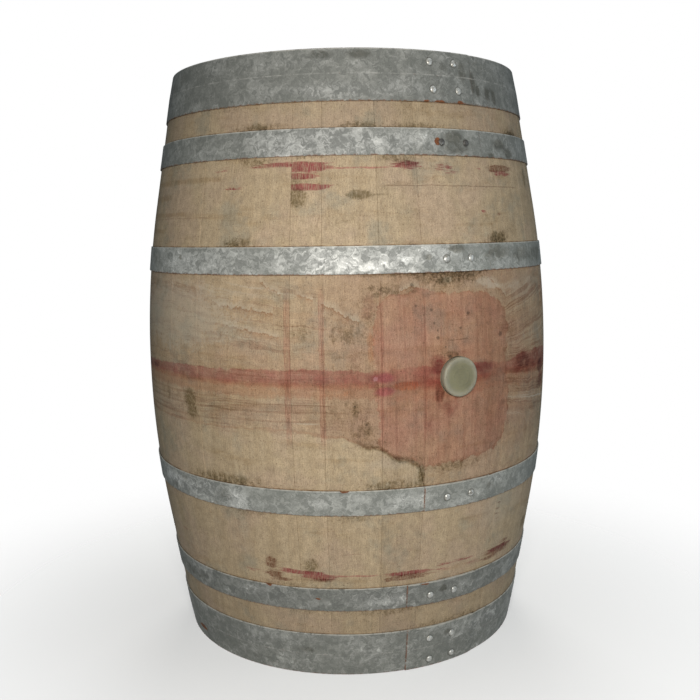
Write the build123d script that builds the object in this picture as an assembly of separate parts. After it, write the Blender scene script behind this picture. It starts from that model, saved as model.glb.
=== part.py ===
from build123d import *
import os
from math import acos, atan, cos, radians, sin, sqrt

# Oak wine barrel of 225 litres, standing on one end.  Millimetres, +Z up.  The origin is on the
# barrel's axis, in the plane of the lower stave ends, and the bung faces -Y.  Angles around the
# barrel are in degrees from the bung and grow towards +X.

os.makedirs("parts", exist_ok=True)

# ---- Staves -------------------------------------------------------------------------------------
HEIGHT = 950.0
MIDDLE = HEIGHT / 2
BILGE_RADIUS = 350.0            # over the staves at mid-height
CHIME_RADIUS = 290.0            # over the staves at their ends
STAVE_THICKNESS = 27.0
BELLY_ARC_RADIUS = 1551.0       # arch of the staves' middle stretch, seen from the side
BELLY_HALF = 260.0              # the arch reaches this far above and below mid-height
CREASE_HALF = 438.0             # from here to its end a stave leans in a little more
CHIME_FACE = 16.0               # radial width of the flat stave end
BEVEL_HEIGHT = 18.0             # inner bevel of the chime

BUNG_STAVE_START = -8.8         # left joint of the wide stave that holds the bung
STAVE_WIDTHS = [                # degrees, from the bung stave towards +X; one more closes the ring
    18.8, 6.0, 15.0, 9.6, 15.2, 11.8, 8.4, 13.6, 16.1, 10.2,
    12.7, 9.1, 14.8, 11.4, 7.7, 13.9, 12.6, 10.8, 12.2, 8.8,
    14.4, 9.9, 12.9, 12.9, 11.5, 10.3, 16.8, 7.9, 13.9,
]

# ---- Heads and the croze groove that holds them -------------------------------------------------
HEAD_OFFSET = 46.0              # middle of a head and of its groove, from the stave ends
CROZE_DEPTH = 6.0
CROZE_MOUTH = 6.4
CROZE_FLOOR = 5.0
HEAD_THICKNESS = 22.0
HEAD_CLEARANCE = 0.2            # between the rim of the head and the floor of the groove
TONGUE_LENGTH = 7.6             # thin rim of the head, inside the groove
TONGUE_TIP = 4.2
TONGUE_ROOT = 5.2
HEAD_BEVEL = 14.0               # from the tongue up to the full thickness
HEAD_JOINTS = [-188.0, -92.0, 4.0, 97.0, 186.0]     # X of the joints between the six boards
DOWEL_RADIUS = 4.0
DOWEL_LENGTH = 40.0
DOWEL_CLEARANCE = 0.1
DOWEL_SPREAD = 0.55             # place of a dowel along its joint, as a share of the half-chord

# ---- Hoops and rivets ---------------------------------------------------------------------------
STRIP_THICKNESS = 1.8
HOOP_GAP = 0.05                 # between the staves and the hoop
LAP_GAP = 0.05                  # between the two layers where the hoop's ends overlap
RAMP_DEG = 3.0                  # stretch over which the outer layer climbs onto the inner one
RIVET_HEAD_RADIUS = 5.2
RIVET_HEAD_HEIGHT = 2.6
RIVET_SHANK_RADIUS = 2.5
RIVET_HOLE_RADIUS = 2.55
RIVET_SEAT_GAP = 0.02

# name: lower edge, upper edge, angle of the visible outer end, rivets as (angle, height)
HOOPS = {
    "top_head": (874.0, HEIGHT - 1.0, 12.0, [(-2.7, 932.0), (5.6, 932.0), (-2.3, 892.0), (6.2, 892.0)]),
    "top_quarter": (797.0, 836.0, 12.5, [(-1.2, 816.0), (6.8, 816.0)]),
    "top_bilge": (629.0, 669.0, 11.4, [(-2.5, 648.0), (4.8, 648.0)]),
    "bottom_bilge": (273.0, 312.0, -8.8, [(-2.3, 291.0), (5.1, 291.0)]),
    "bottom_quarter": (114.0, 152.0, -12.2, [(-5.0, 130.0), (2.9, 130.0)]),
    "bottom_head": (1.0, 73.0, -11.4, [(-4.0, 52.0), (3.9, 52.0), (-3.4, 14.0), (4.9, 14.0)]),
}

# ---- Bung ---------------------------------------------------------------------------------------
BUNG_Z = MIDDLE
BUNG_RADIUS = 29.0              # where it leaves the stave
BUNG_TAPER = 0.14               # radius lost per millimetre of depth
BUNG_DEPTH = 36.0
BUNG_PROUD = 9.0
BUNG_EDGE = 3.5                 # rounding of the visible rim
BUNG_FOOT_CHAMFER = 2.0
BUNG_HOLE_GAP = 0.15

# ---- Radii that follow from the dimensions above ------------------------------------------------
ARCH_END = sqrt(BELLY_ARC_RADIUS**2 - BELLY_HALF**2)
BELLY_END_RADIUS = BILGE_RADIUS - BELLY_ARC_RADIUS + ARCH_END
FLANK_SLOPE = BELLY_HALF / ARCH_END
CREASE_RADIUS = BELLY_END_RADIUS - FLANK_SLOPE * (CREASE_HALF - BELLY_HALF)
CHIME_SLOPE = (CREASE_RADIUS - CHIME_RADIUS) / (MIDDLE - CREASE_HALF)
CREASE_Z = MIDDLE - CREASE_HALF
BELLY_Z = MIDDLE - BELLY_HALF


def stave_radius(z):
    """Outer radius of the staves at height z."""
    half = abs(z - MIDDLE)
    if half <= BELLY_HALF:
        return BILGE_RADIUS - BELLY_ARC_RADIUS + sqrt(BELLY_ARC_RADIUS**2 - half**2)
    if half <= CREASE_HALF:
        return BELLY_END_RADIUS - FLANK_SLOPE * (half - BELLY_HALF)
    return CREASE_RADIUS - CHIME_SLOPE * (half - CREASE_HALF)


def inner_radius(z):
    return stave_radius(z) - STAVE_THICKNESS


CROZE_FLOOR_RADIUS = inner_radius(HEAD_OFFSET) + CROZE_DEPTH
HEAD_RADIUS = CROZE_FLOOR_RADIUS - HEAD_CLEARANCE


def stave_slope(z):
    """Growth of the staves' radius per millimetre of height at z."""
    half = abs(z - MIDDLE)
    towards_middle = 1 if z < MIDDLE else -1
    if half <= BELLY_HALF:
        return towards_middle * half / sqrt(BELLY_ARC_RADIUS**2 - half**2)
    if half <= CREASE_HALF:
        return towards_middle * FLANK_SLOPE
    return towards_middle * CHIME_SLOPE


def in_section(points):
    """Points (radius, height) as places in the XZ plane."""
    return [Vector(radius, 0, z) for radius, z in points]


def upside_down(points):
    """The same outline at the other end of the barrel, in the opposite order."""
    return [(radius, HEIGHT - z) for radius, z in reversed(points)]


def turned(shape, angle):
    """A shape made at +X, turned to an angle counted from the bung."""
    return shape.rotate(Axis.Z, angle - 90)


def save(name, solids):
    """Write one node: a solid, or a group of separate solids."""
    shape = solids[0] if len(solids) == 1 else Compound(children=solids)
    shape.label = name
    export_step(shape, f"parts/{name}.step")


# ---- Staves -------------------------------------------------------------------------------------
def stave_section():
    """Section of a stave along its length, with the chime bevels and both croze grooves."""
    groove_low = HEAD_OFFSET - CROZE_MOUTH / 2
    groove_high = HEAD_OFFSET + CROZE_MOUTH / 2
    floor_low = HEAD_OFFSET - CROZE_FLOOR / 2
    floor_high = HEAD_OFFSET + CROZE_FLOOR / 2
    outside = [
        (CHIME_RADIUS, 0),
        (CREASE_RADIUS, CREASE_Z),
        (BELLY_END_RADIUS, BELLY_Z),
    ]
    inside = [
        (CHIME_RADIUS - CHIME_FACE, 0),
        (inner_radius(BEVEL_HEIGHT), BEVEL_HEIGHT),
        (inner_radius(CREASE_Z), CREASE_Z),
        (inner_radius(groove_low), groove_low),
        (CROZE_FLOOR_RADIUS, floor_low),
        (CROZE_FLOOR_RADIUS, floor_high),
        (inner_radius(groove_high), groove_high),
        (inner_radius(BELLY_Z), BELLY_Z),
    ]
    belly = in_section([
        (BELLY_END_RADIUS, BELLY_Z),
        (BILGE_RADIUS, MIDDLE),
        (BELLY_END_RADIUS, HEIGHT - BELLY_Z),
    ])
    belly_inside = in_section([
        (inner_radius(BELLY_Z), BELLY_Z),
        (inner_radius(MIDDLE), MIDDLE),
        (inner_radius(BELLY_Z), HEIGHT - BELLY_Z),
    ])
    edges = [
        Polyline(*in_section(outside)),
        ThreePointArc(*belly),
        Polyline(*in_section(upside_down(outside) + upside_down(inside)[-1:])),
        Polyline(*in_section(upside_down(inside))),
        ThreePointArc(*belly_inside),
        Polyline(*in_section(inside[::-1] + outside[:1])),
    ]
    return make_face([edge for line in edges for edge in line.edges()])


def bung_axis(depth):
    """Plane at a depth under the staves' surface at the bung, facing out of the barrel."""
    return Plane(origin=(0, -BILGE_RADIUS + depth, BUNG_Z), x_dir=(1, 0, 0), z_dir=(0, -1, 0))


def bung_hole():
    outer = 10.0
    inner = STAVE_THICKNESS + 10.0
    cone = Cone(
        BUNG_RADIUS + BUNG_HOLE_GAP - BUNG_TAPER * inner,
        BUNG_RADIUS + BUNG_HOLE_GAP + BUNG_TAPER * outer,
        inner + outer,
        align=(Align.CENTER, Align.CENTER, Align.MIN),
    )
    return bung_axis(inner) * cone


def make_staves():
    section = stave_section()
    widths = STAVE_WIDTHS + [360.0 - sum(STAVE_WIDTHS)]
    start = BUNG_STAVE_START
    for number, width in enumerate(widths):
        stave = turned(revolve(section, Axis.Z, revolution_arc=width), start)
        if number == 0:
            save("bung_stave", [stave - bung_hole()])
        else:
            save(f"stave_{number:02d}", [stave])
        start += width


# ---- Heads --------------------------------------------------------------------------------------
def head_disc():
    """Whole head at the origin, with its bevelled rim and tongue."""
    tongue_root = HEAD_RADIUS - TONGUE_LENGTH
    bevel_start = tongue_root - HEAD_BEVEL
    upper = [
        (0, HEAD_THICKNESS / 2),
        (bevel_start, HEAD_THICKNESS / 2),
        (tongue_root, TONGUE_ROOT / 2),
        (HEAD_RADIUS, TONGUE_TIP / 2),
    ]
    lower = [(radius, -z) for radius, z in reversed(upper)]
    outline = Polyline(*in_section(upper + lower), close=True)
    return revolve(make_face(outline.edges()), Axis.Z)


def dowels(radius, length):
    """Two cylinders across each joint between the boards of a head."""
    pegs = []
    for x in HEAD_JOINTS:
        half_chord = sqrt(HEAD_RADIUS**2 - x**2)
        for side in (-1, 1):
            place = Pos(x, side * DOWEL_SPREAD * half_chord, 0) * Rot(0, 90, 0)
            pegs.append(place * Cylinder(radius, length))
    return pegs


def make_head(name, z):
    disc = head_disc()
    holes = dowels(DOWEL_RADIUS + DOWEL_CLEARANCE, DOWEL_LENGTH + 1.0)
    edges = [-HEAD_RADIUS - 1.0] + HEAD_JOINTS + [HEAD_RADIUS + 1.0]
    for number, (left, right) in enumerate(zip(edges, edges[1:]), start=1):
        slab = Pos((left + right) / 2, 0, 0) * Box(right - left, 3 * HEAD_RADIUS, 2 * HEAD_THICKNESS)
        board = (disc & slab) - holes
        save(f"{name}_board_{number}", [Pos(0, 0, z) * board.solid()])
    save(f"{name}_dowels", [Pos(0, 0, z) * peg for peg in dowels(DOWEL_RADIUS, DOWEL_LENGTH)])


# ---- Hoops --------------------------------------------------------------------------------------
def strip_line(low, high):
    """Inner line of a hoop's strip: against the staves, creased where they are."""
    for crease in (CREASE_Z, HEIGHT - CREASE_Z):
        if low < crease < high:
            return [(stave_radius(z) + HOOP_GAP, z) for z in (low, crease, high)]
    middle = (low + high) / 2
    slope = stave_slope(middle)
    return [(stave_radius(middle) + HOOP_GAP + slope * (z - middle), z) for z in (low, high)]


def strip_section(line, layer):
    """Section of the strip in layer 0, against the staves, or in layer 1, over layer 0."""
    inner = [(radius + layer * (STRIP_THICKNESS + LAP_GAP), z) for radius, z in line]
    outer = [(radius + STRIP_THICKNESS, z) for radius, z in reversed(inner)]
    outline = Polyline(*in_section(inner + outer), close=True)
    return make_face(outline.edges())


def hoop_strip(line, lap):
    """Strip that starts at +X, goes once round and ends on top of its own start."""
    inner_layer = strip_section(line, 0)
    outer_layer = strip_section(line, 1)
    ramp_start = 360.0 - RAMP_DEG
    ring = revolve(inner_layer, Axis.Z, revolution_arc=ramp_start)
    ramp = loft([inner_layer.rotate(Axis.Z, ramp_start), outer_layer], ruled=True)
    end = revolve(outer_layer, Axis.Z, revolution_arc=lap)
    return (ring + ramp + end).solid()


def rivet_plane(angle, z):
    """Plane on the outer face of the lap, facing out along the strip's normal."""
    reach = stave_radius(z) + HOOP_GAP + 2 * STRIP_THICKNESS + LAP_GAP
    around = radians(angle)
    tilt = atan(stave_slope(z))
    return Plane(
        origin=(reach * sin(around), -reach * cos(around), z),
        x_dir=(cos(around), sin(around), 0),
        z_dir=(sin(around) * cos(tilt), -cos(around) * cos(tilt), -sin(tilt)),
    )


def rivet(z):
    """Domed rivet whose head sits on the plane at its origin, hammered flush inside."""
    grip = (2 * STRIP_THICKNESS + LAP_GAP) * cos(atan(stave_slope(z)))
    seat = RIVET_SEAT_GAP
    top = seat + RIVET_HEAD_HEIGHT
    dome_radius = (RIVET_HEAD_RADIUS**2 + RIVET_HEAD_HEIGHT**2) / (2 * RIVET_HEAD_HEIGHT)
    half_dome = acos((dome_radius - RIVET_HEAD_HEIGHT) / dome_radius) / 2
    crown = (dome_radius * sin(half_dome), top - dome_radius * (1 - cos(half_dome)))
    corners = [(0, top), (0, -grip), (RIVET_SHANK_RADIUS, -grip), (RIVET_SHANK_RADIUS, seat),
               (RIVET_HEAD_RADIUS, seat)]
    sides = Polyline(*in_section(corners))
    dome = ThreePointArc(*in_section([corners[-1], crown, corners[0]]))
    return revolve(make_face(sides.edges() + dome.edges()), Axis.Z)


def make_hoop(name, low, high, outer_end, rivets):
    middle_angle = sum(angle for angle, _ in rivets) / len(rivets)
    inner_end = 2 * middle_angle - outer_end
    lap = abs(outer_end - inner_end)
    strip = hoop_strip(strip_line(low, high), lap)
    if outer_end < inner_end:
        strip = mirror(strip, Plane.XZ)
    strip = turned(strip, inner_end)
    holes = []
    pins = []
    for angle, z in rivets:
        place = rivet_plane(angle, z)
        holes.append(place * Cylinder(RIVET_HOLE_RADIUS, 6 * STRIP_THICKNESS))
        pins.append(place * rivet(z))
    save(f"{name}_hoop", [(strip - holes).solid()])
    save(f"{name}_rivets", pins)


# ---- Bung ---------------------------------------------------------------------------------------
def make_bung():
    foot = BUNG_RADIUS - BUNG_TAPER * BUNG_DEPTH
    rim = BUNG_RADIUS + BUNG_TAPER * (BUNG_PROUD - BUNG_EDGE)
    corner = BUNG_EDGE * (1 - sqrt(0.5))
    side = Polyline(*in_section([
        (0, -BUNG_DEPTH),
        (foot - BUNG_FOOT_CHAMFER, -BUNG_DEPTH),
        (foot, -BUNG_DEPTH + BUNG_FOOT_CHAMFER),
        (rim, BUNG_PROUD - BUNG_EDGE),
    ]))
    edge = ThreePointArc(*in_section([
        (rim, BUNG_PROUD - BUNG_EDGE),
        (rim - corner, BUNG_PROUD - corner),
        (rim - BUNG_EDGE, BUNG_PROUD),
    ]))
    face = Polyline(*in_section([
        (rim - BUNG_EDGE, BUNG_PROUD),
        (0, BUNG_PROUD),
        (0, -BUNG_DEPTH),
    ]))
    profile = make_face(side.edges() + edge.edges() + face.edges())
    save("bung", [bung_axis(0) * revolve(profile, Axis.Z)])


make_staves()
make_head("bottom_head", HEAD_OFFSET)
make_head("top_head", HEIGHT - HEAD_OFFSET)
for hoop_name, (low_edge, high_edge, outer_end_angle, rivet_places) in HOOPS.items():
    make_hoop(hoop_name, low_edge, high_edge, outer_end_angle, rivet_places)
make_bung()
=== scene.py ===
import math

import bpy
import numpy as np
from mathutils import Matrix, Vector


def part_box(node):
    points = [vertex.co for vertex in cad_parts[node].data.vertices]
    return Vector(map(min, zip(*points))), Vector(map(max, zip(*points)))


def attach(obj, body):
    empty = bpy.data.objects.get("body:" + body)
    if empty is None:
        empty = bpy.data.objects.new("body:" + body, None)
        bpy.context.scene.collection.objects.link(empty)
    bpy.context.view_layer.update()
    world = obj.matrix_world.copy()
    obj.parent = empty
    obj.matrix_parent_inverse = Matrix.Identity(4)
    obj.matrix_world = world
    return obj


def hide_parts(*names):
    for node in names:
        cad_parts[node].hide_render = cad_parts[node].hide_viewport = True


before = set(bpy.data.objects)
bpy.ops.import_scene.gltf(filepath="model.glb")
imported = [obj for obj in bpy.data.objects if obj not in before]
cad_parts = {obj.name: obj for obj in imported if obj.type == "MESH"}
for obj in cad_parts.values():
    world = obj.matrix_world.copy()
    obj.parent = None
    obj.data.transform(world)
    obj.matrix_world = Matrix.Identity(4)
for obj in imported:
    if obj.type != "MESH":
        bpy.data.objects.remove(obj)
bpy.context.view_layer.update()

# Looks of the oak wine barrel.  Metres, in the frame of the CAD model: +Z up, the bung on -Y.
# Angles around the barrel are in degrees from the bung and grow towards +X.  Marks on the wood
# and on the steel are placed by (angle, height in millimetres), as one would measure them on it.

MM = 0.001
SEED = 20

# ---- The barrel's measures, taken from the frame ------------------------------------------------
STAVES = ["bung_stave"] + [f"stave_{number:02d}" for number in range(1, 30)]
HOOPS = {                       # +1 where the visible end of the strip points towards +X
    "top_head": 1,
    "top_quarter": 1,
    "top_bilge": 1,
    "bottom_bilge": -1,
    "bottom_quarter": -1,
    "bottom_head": -1,
}
BELLY_ARC = 1.551               # arch of the staves' middle stretch
BELLY_HALF = 0.260              # the arch reaches this far above and below mid-height
CREASE_HALF = 0.438             # from here to its end a stave leans in a little more
STAVE_THICKNESS = 0.027
CHIME_FACE = 0.016
BEVEL_HEIGHT = 0.018
HEAD_OFFSET = 0.046             # middle of the croze groove, from the stave ends
CROZE_DEPTH = 0.006
CROZE_MOUTH = 0.0064
CROZE_FLOOR = 0.0050
STRIP = 0.0018
HOOP_GAP = 0.00005
LAP_RISE = STRIP + 0.00005      # the upper layer of a lap stands this much higher
RAMP_DEG = 3.0
RIVET_RADIUS = 0.0052
RIVET_HEIGHT = 0.0026
BUNG_RADIUS = 0.029
BUNG_TAPER = 0.14
BUNG_HOLE_GAP = 0.00015


def node_points(name):
    """Vertices of a CAD node."""
    return np.array([v.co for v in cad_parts[name].data.vertices])


def angle_of(points):
    return np.degrees(np.arctan2(points[..., 0], -points[..., 1]))


def radius_of(points):
    return np.hypot(points[..., 0], points[..., 1])


def wrapped(angle):
    """The same angle, between -180 and 180."""
    return (angle + 180) % 360 - 180


BUNG_STAVE = node_points("bung_stave")
HEIGHT = BUNG_STAVE[:, 2].max()
MIDDLE = HEIGHT / 2
BILGE_RADIUS = radius_of(BUNG_STAVE).max()
CHIME_RADIUS = radius_of(BUNG_STAVE[BUNG_STAVE[:, 2] > HEIGHT - 0.1 * MM]).max()
ARCH_END = math.sqrt(BELLY_ARC**2 - BELLY_HALF**2)
BELLY_END_RADIUS = BILGE_RADIUS - BELLY_ARC + ARCH_END
FLANK_SLOPE = BELLY_HALF / ARCH_END
CREASE_RADIUS = BELLY_END_RADIUS - FLANK_SLOPE * (CREASE_HALF - BELLY_HALF)
CHIME_SLOPE = (CREASE_RADIUS - CHIME_RADIUS) / (MIDDLE - CREASE_HALF)


def arc(angle):
    """Length along the bilge from the bung to an angle."""
    return np.radians(angle) * BILGE_RADIUS


def stave_radius(z):
    """Outer radius of the staves at height z."""
    half = np.abs(np.asarray(z) - MIDDLE)
    arch = BILGE_RADIUS - BELLY_ARC + np.sqrt(BELLY_ARC**2 - np.minimum(half, BELLY_HALF) ** 2)
    flank = FLANK_SLOPE * np.clip(half - BELLY_HALF, 0, CREASE_HALF - BELLY_HALF)
    chime = CHIME_SLOPE * np.maximum(half - CREASE_HALF, 0)
    return arch - flank - chime


def stave_slope(z):
    """Growth of the staves' radius with height at z."""
    step = 0.5 * MM
    return (stave_radius(z + step) - stave_radius(z - step)) / (2 * step)


def inner_radius(z):
    """Inner radius of the staves at height z, with the chime bevel and the croze groove."""
    end = np.minimum(z, HEIGHT - z)
    bevel_foot = stave_radius(BEVEL_HEIGHT) - STAVE_THICKNESS
    bevel = np.interp(end, [0, BEVEL_HEIGHT], [CHIME_RADIUS - CHIME_FACE, bevel_foot])
    from_groove = np.abs(end - HEAD_OFFSET)
    groove = np.interp(from_groove, [CROZE_FLOOR / 2, CROZE_MOUTH / 2], [CROZE_DEPTH, 0])
    return np.where(end < BEVEL_HEIGHT, bevel, stave_radius(z) - STAVE_THICKNESS + groove)


def angle_range(points, centre):
    """Lowest and highest angle of points round a centre, without a jump at the back."""
    turned = wrapped(angle_of(points) - centre)
    return centre + turned.min(), centre + turned.max()


def rivet_places(hoop):
    """(angle, height) of a hoop's rivets: points near one another belong to one rivet."""
    points = node_points(f"{hoop}_rivets")
    places = []
    while len(points):
        near = np.linalg.norm(points - points[0], axis=1) < 2.5 * RIVET_RADIUS
        centre = points[near].mean(0)
        places.append((float(angle_of(centre)), float(centre[2])))
        points = points[~near]
    return places


HOOP_EDGES = {hoop: (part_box(f"{hoop}_hoop")[0].z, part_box(f"{hoop}_hoop")[1].z) for hoop in HOOPS}
RIVETS = {hoop: rivet_places(hoop) for hoop in HOOPS}


# ---- Marks on the wood --------------------------------------------------------------------------
# Each is (angle, height, half its width in degrees, half its height in millimetres, strength), and
# a sixth number, if any, is the angle of a joint: the mark stays on the staves to its right.
WOOD_MARKS = {
    "crimson": [
        (-41, 786, 10, 3.4, 0.85), (-37.5, 781, 6.4, 7, 1, -41.4), (-47, 783, 8, 3, 0.55),
        (-38.5, 768, 4.8, 4.4, 0.9, -41.4), (-38, 753, 7.4, 4.8, 1, -41.4), (-62, 781, 3.4, 5, 0.45),
        (-57.5, 754, 3.6, 2.6, 0.6), (-11.5, 783, 4.4, 6.5, 0.75), (-1, 780, 3.6, 7, 0.55),
        (1.5, 772, 3, 4.5, 0.5), (10.8, 779, 2, 4.5, 0.45), (21, 774, 5.4, 4.5, 0.7),
        (11.2, 716, 1, 5, 0.6), (-40.5, 178, 6.5, 3.6, 0.95), (-36.5, 172, 4.8, 6, 0.9),
        (-45, 181, 3.4, 2.8, 0.7), (-11.8, 172, 7, 4.4, 0.85), (3.5, 178, 9, 3, 0.55),
        (-1.5, 168, 4, 5.5, 0.45), (9.5, 168, 4, 3.5, 0.5), (21, 175, 7.8, 4.4, 0.75),
        (-57, 172, 8, 4, 0.4), (-84, 205, 3, 4, 0.45), (64, 780, 5, 4, 0.6), (92, 176, 7, 4, 0.6),
        (-135, 782, 8, 4, 0.7), (150, 172, 9, 4.5, 0.6), (-168, 176, 5, 3.5, 0.5),
        (121, 770, 4, 5, 0.5), (-5.4, 497, 1.8, 9, 0.55),
    ],
    "maroon": [
        (-12, 786, 4.6, 5, 0.6), (21, 782, 6.2, 4.6, 1), (17.5, 779, 2.6, 4.5, 0.8),
        (-49.8, 190, 1.9, 11, 0.85), (-49.2, 172, 2.8, 6, 0.8), (-47, 164, 3.6, 3.6, 0.8),
        (-36, 166, 5.6, 4, 0.6), (-12, 166, 6.4, 5.5, 0.85), (21, 172, 7.4, 8, 0.85),
        (17, 164, 4.4, 3.4, 0.75), (24, 184, 3.6, 3, 0.6), (-17.5, 164, 1.2, 3.6, 1),
        (17.3, 712, 1.6, 3.4, 0.6), (38, 434, 3.6, 12, 0.55), (39, 463, 2.8, 10, 1.3),
        (26, 480, 5, 12, 0.55), (44, 474, 9, 10, 0.4), (-92, 478, 4.6, 8, 0.5), (-101, 477, 4, 6, 0.6),
        (17.6, 257, 1.4, 2.2, 0.6), (17.2, 248, 1.5, 2.2, 0.6), (17.4, 240, 1.4, 2, 0.6),
        (17.8, 232, 1.2, 2, 0.5), (-28, 210, 4.2, 2.4, 0.5), (-12, 211, 2.6, 2.4, 0.5),
        (128, 178, 6, 6, 0.7), (-120, 170, 4, 6, 0.6),
    ],
    "olive": [
        (-72.4, 438, 2.4, 16, 1), (-71.6, 418, 2, 13, 0.9), (-83, 440, 1.6, 18, 0.55),
        (-40, 738, 3.2, 14, 0.9, -41.4), (-39.6, 762, 3.4, 9, 0.5, -41.4), (-24.2, 741, 3.4, 6.5, 1),
        (-19.5, 741, 3.6, 2.4, 0.6), (-38.4, 190, 2.2, 12, 0.8), (37.4, 770, 1.5, 18, 0.7),
        (39, 190, 2.6, 12, 0.9), (30.5, 837, 4.2, 5, 0.9), (16, 676, 4, 9, 0.8),
        (23.5, 690, 2.2, 16, 0.4), (-1, 622, 8.6, 12, 0.55), (-20.6, 599, 1.5, 4, 0.7),
        (-18.4, 606, 2, 5, 0.7), (-16.2, 602, 1.6, 3.4, 0.6), (-22, 608, 1.1, 6, 0.5),
        (-14.6, 608, 1.6, 3.6, 0.5), (-12.5, 606, 2.6, 9, 0.5), (-0.5, 341, 8.5, 9, 0.45),
        (-26, 434, 0.9, 17, 0.7), (-23.4, 408, 1, 12, 0.6), (-9.6, 329, 0.9, 18, 0.9),
        (-26, 540, 4.8, 30, 0.25), (-57, 674, 3.4, 6, 0.6), (-22, 383, 6.5, 10, 0.4),
        (-13.5, 357, 5.5, 7, 0.45), (84, 420, 2.6, 30, 0.7), (-128, 640, 6, 30, 0.4),
        (160, 560, 3.4, 40, 0.5), (110, 745, 3, 14, 0.7), (-155, 215, 3, 22, 0.7),
    ],
    "mould": [  # dark dots that creep out of the hoops' edges
        (-52, 839, 7, 9, 0.9), (-24, 839, 5.5, 8, 0.9), (-8, 838, 9, 8, 0.7), (30, 839, 5.5, 12, 0.8),
        (-55, 676, 5, 10, 0.8), (16, 677, 5, 14, 0.9), (-1, 625, 12, 18, 1),
        (-18.5, 606, 6.5, 11, 0.65), (-62, 319, 13, 10, 0.95), (-17, 319, 9.5, 9, 0.85),
        (0, 338, 9, 15, 0.55), (-12, 352, 6, 10, 0.55), (-52, 790, 7, 6, 0.8), (-14, 792, 6, 6, 0.8),
        (-36, 795, 5, 3, 0.6), (-55, 268, 7, 9, 0.6), (-27, 267, 5, 7, 0.7), (4, 78, 14, 7, 0.6),
        (-45, 156, 8, 5, 0.6), (-17, 108, 12, 6, 0.6), (-40, 109, 8, 5, 0.5), (-62, 868, 8, 6, 0.45),
        (-24, 560, 5.5, 40, 0.5), (-28, 428, 6, 30, 0.5), (0, 700, 14, 26, 0.35),
        (75, 318, 16, 10, 0.9), (120, 840, 14, 9, 0.9), (-120, 318, 16, 12, 0.9),
        (-150, 676, 12, 12, 0.9), (170, 613, 10, 12, 0.9), (140, 266, 12, 9, 0.8),
        (95, 676, 9, 10, 0.8), (-170, 840, 9, 9, 0.8), (-22.4, 562, 1.8, 38, 0.6),
        (-5, 450, 1.3, 13, 1), (-1.6, 508, 2.8, 7, 1), (-7.5, 388, 3, 10, 0.4), (2, 540, 4, 22, 0.35),
        (-28, 543, 5, 14, 0.85), (-38.5, 546, 3.6, 14, 0.7), (-24.5, 402, 3.4, 14, 0.8),
        (-29, 705, 9, 24, 0.45), (-9, 706, 8, 22, 0.4), (13, 700, 5, 22, 0.5), (41, 438, 3, 12, 0.8),
        (-86, 660, 8, 8, 0.5), (26, 700, 5, 22, 0.4), (-38, 700, 8, 16, 0.3),
    ],
    "magenta": [
        (-19.2, 460, 2.6, 7, 0.9), (-19, 480, 3.4, 8, 0.8), (-15.5, 487, 2.6, 4, 0.4),
        (-22, 468, 1.2, 5, 0.5), (-5.6, 484, 1.9, 17, 0.4), (9, 487, 5, 9, 0.3),
    ],
    "orange": [
        (-13.6, 467, 3.2, 6.5, 1), (-12.2, 466, 1.4, 6, 1), (-22.2, 530, 1, 34, 0.6),
        (-20.8, 545, 1.3, 40, 0.35), (-75, 464, 9, 5, 0.25), (-52, 464, 6, 4.5, 0.3),
        (-30, 459, 8, 6, 0.4),
    ],
    "pale": [  # washed, greyish areas
        (26, 600, 10, 26, 0.7), (30, 545, 9, 36, 0.4), (-16, 415, 3, 20, 0.3), (20, 250, 12, 34, 0.6),
        (-17, 352, 7, 12, 0.5), (10, 610, 7, 10, 0.6),
    ],
    "chalk": [  # left by dried water; the small spot at -21.2°, 479 mm is a painted highlight
        (-38, 414, 4, 2.4, 0.7), (9, 613, 2.6, 7, 0.9), (12.5, 605, 3, 5, 0.7), (20, 604, 6, 8, 0.5),
        (26, 522, 2, 8, 0.4), (-2.2, 618, 1.6, 5, 0.8), (-13.5, 352, 3.4, 4, 0.5),
        (-21.2, 479, 0.4, 2.4, 1.6), (135, 560, 9, 5, 0.6), (-80, 565, 30, 62, 0.7),
    ],
    "bruise": [  # purple-brown shadows of old wine
        (-5.2, 490, 1.7, 15, 0.8), (-5.2, 451, 1.3, 14, 1), (-2.2, 430, 3.6, 16, 0.6),
        (8.4, 486, 3.4, 10, 0.6), (-0.5, 510, 4, 5, 0.35), (24.5, 490, 3.6, 9, 0.6),
        (40.5, 440, 3.4, 14, 0.9), (-22.5, 580, 2.2, 24, 0.5), (-8.2, 420, 1.4, 50, 0.35),
        (-93, 480, 5, 9, 0.5), (140, 478, 7, 10, 0.7), (-150, 470, 5, 12, 0.6),
        (-5.6, 496, 2.4, 13, 1),
    ],
}
# Scalloped edges of dried water: pale above, brown below, as pairs of (angle, height).
SCALLOPS = [
    ((-49.5, 623), (-43.2, 600)), ((-64, 590), (-52, 577)), ((-52, 578), (-45.2, 574)),
    ((-39.8, 600), (-35.6, 594)), ((-34, 590), (-24.5, 560)), ((-9.6, 612), (-15, 604)),
    ((17.5, 590), (11.5, 612)), ((-60, 556), (-44, 540)), ((122, 566), (150, 552)),
    ((-150, 596), (-128, 584)),
]
# Outline of the big wine stain round the bung, as (angle, height).
WINE_OUTLINE = [
    (-20.4, 376), (-20.2, 402), (-20.9, 440), (-20.8, 470), (-21.3, 505), (-21.9, 530), (-21.4, 560),
    (-20.4, 586), (-19, 597), (-15, 598), (-12, 603), (-9.4, 611), (-7.6, 603), (-3, 598), (3, 599),
    (9, 598), (11.8, 591), (14.5, 580), (16.5, 566), (17.5, 545), (17.1, 520), (16.5, 500), (17, 470),
    (17.7, 440), (17.6, 405), (16.9, 385), (15.6, 366), (13, 356), (9.5, 350), (4, 346), (-2, 345),
    (-8.4, 342), (-11, 350), (-14, 358), (-17.6, 366),
]
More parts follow.
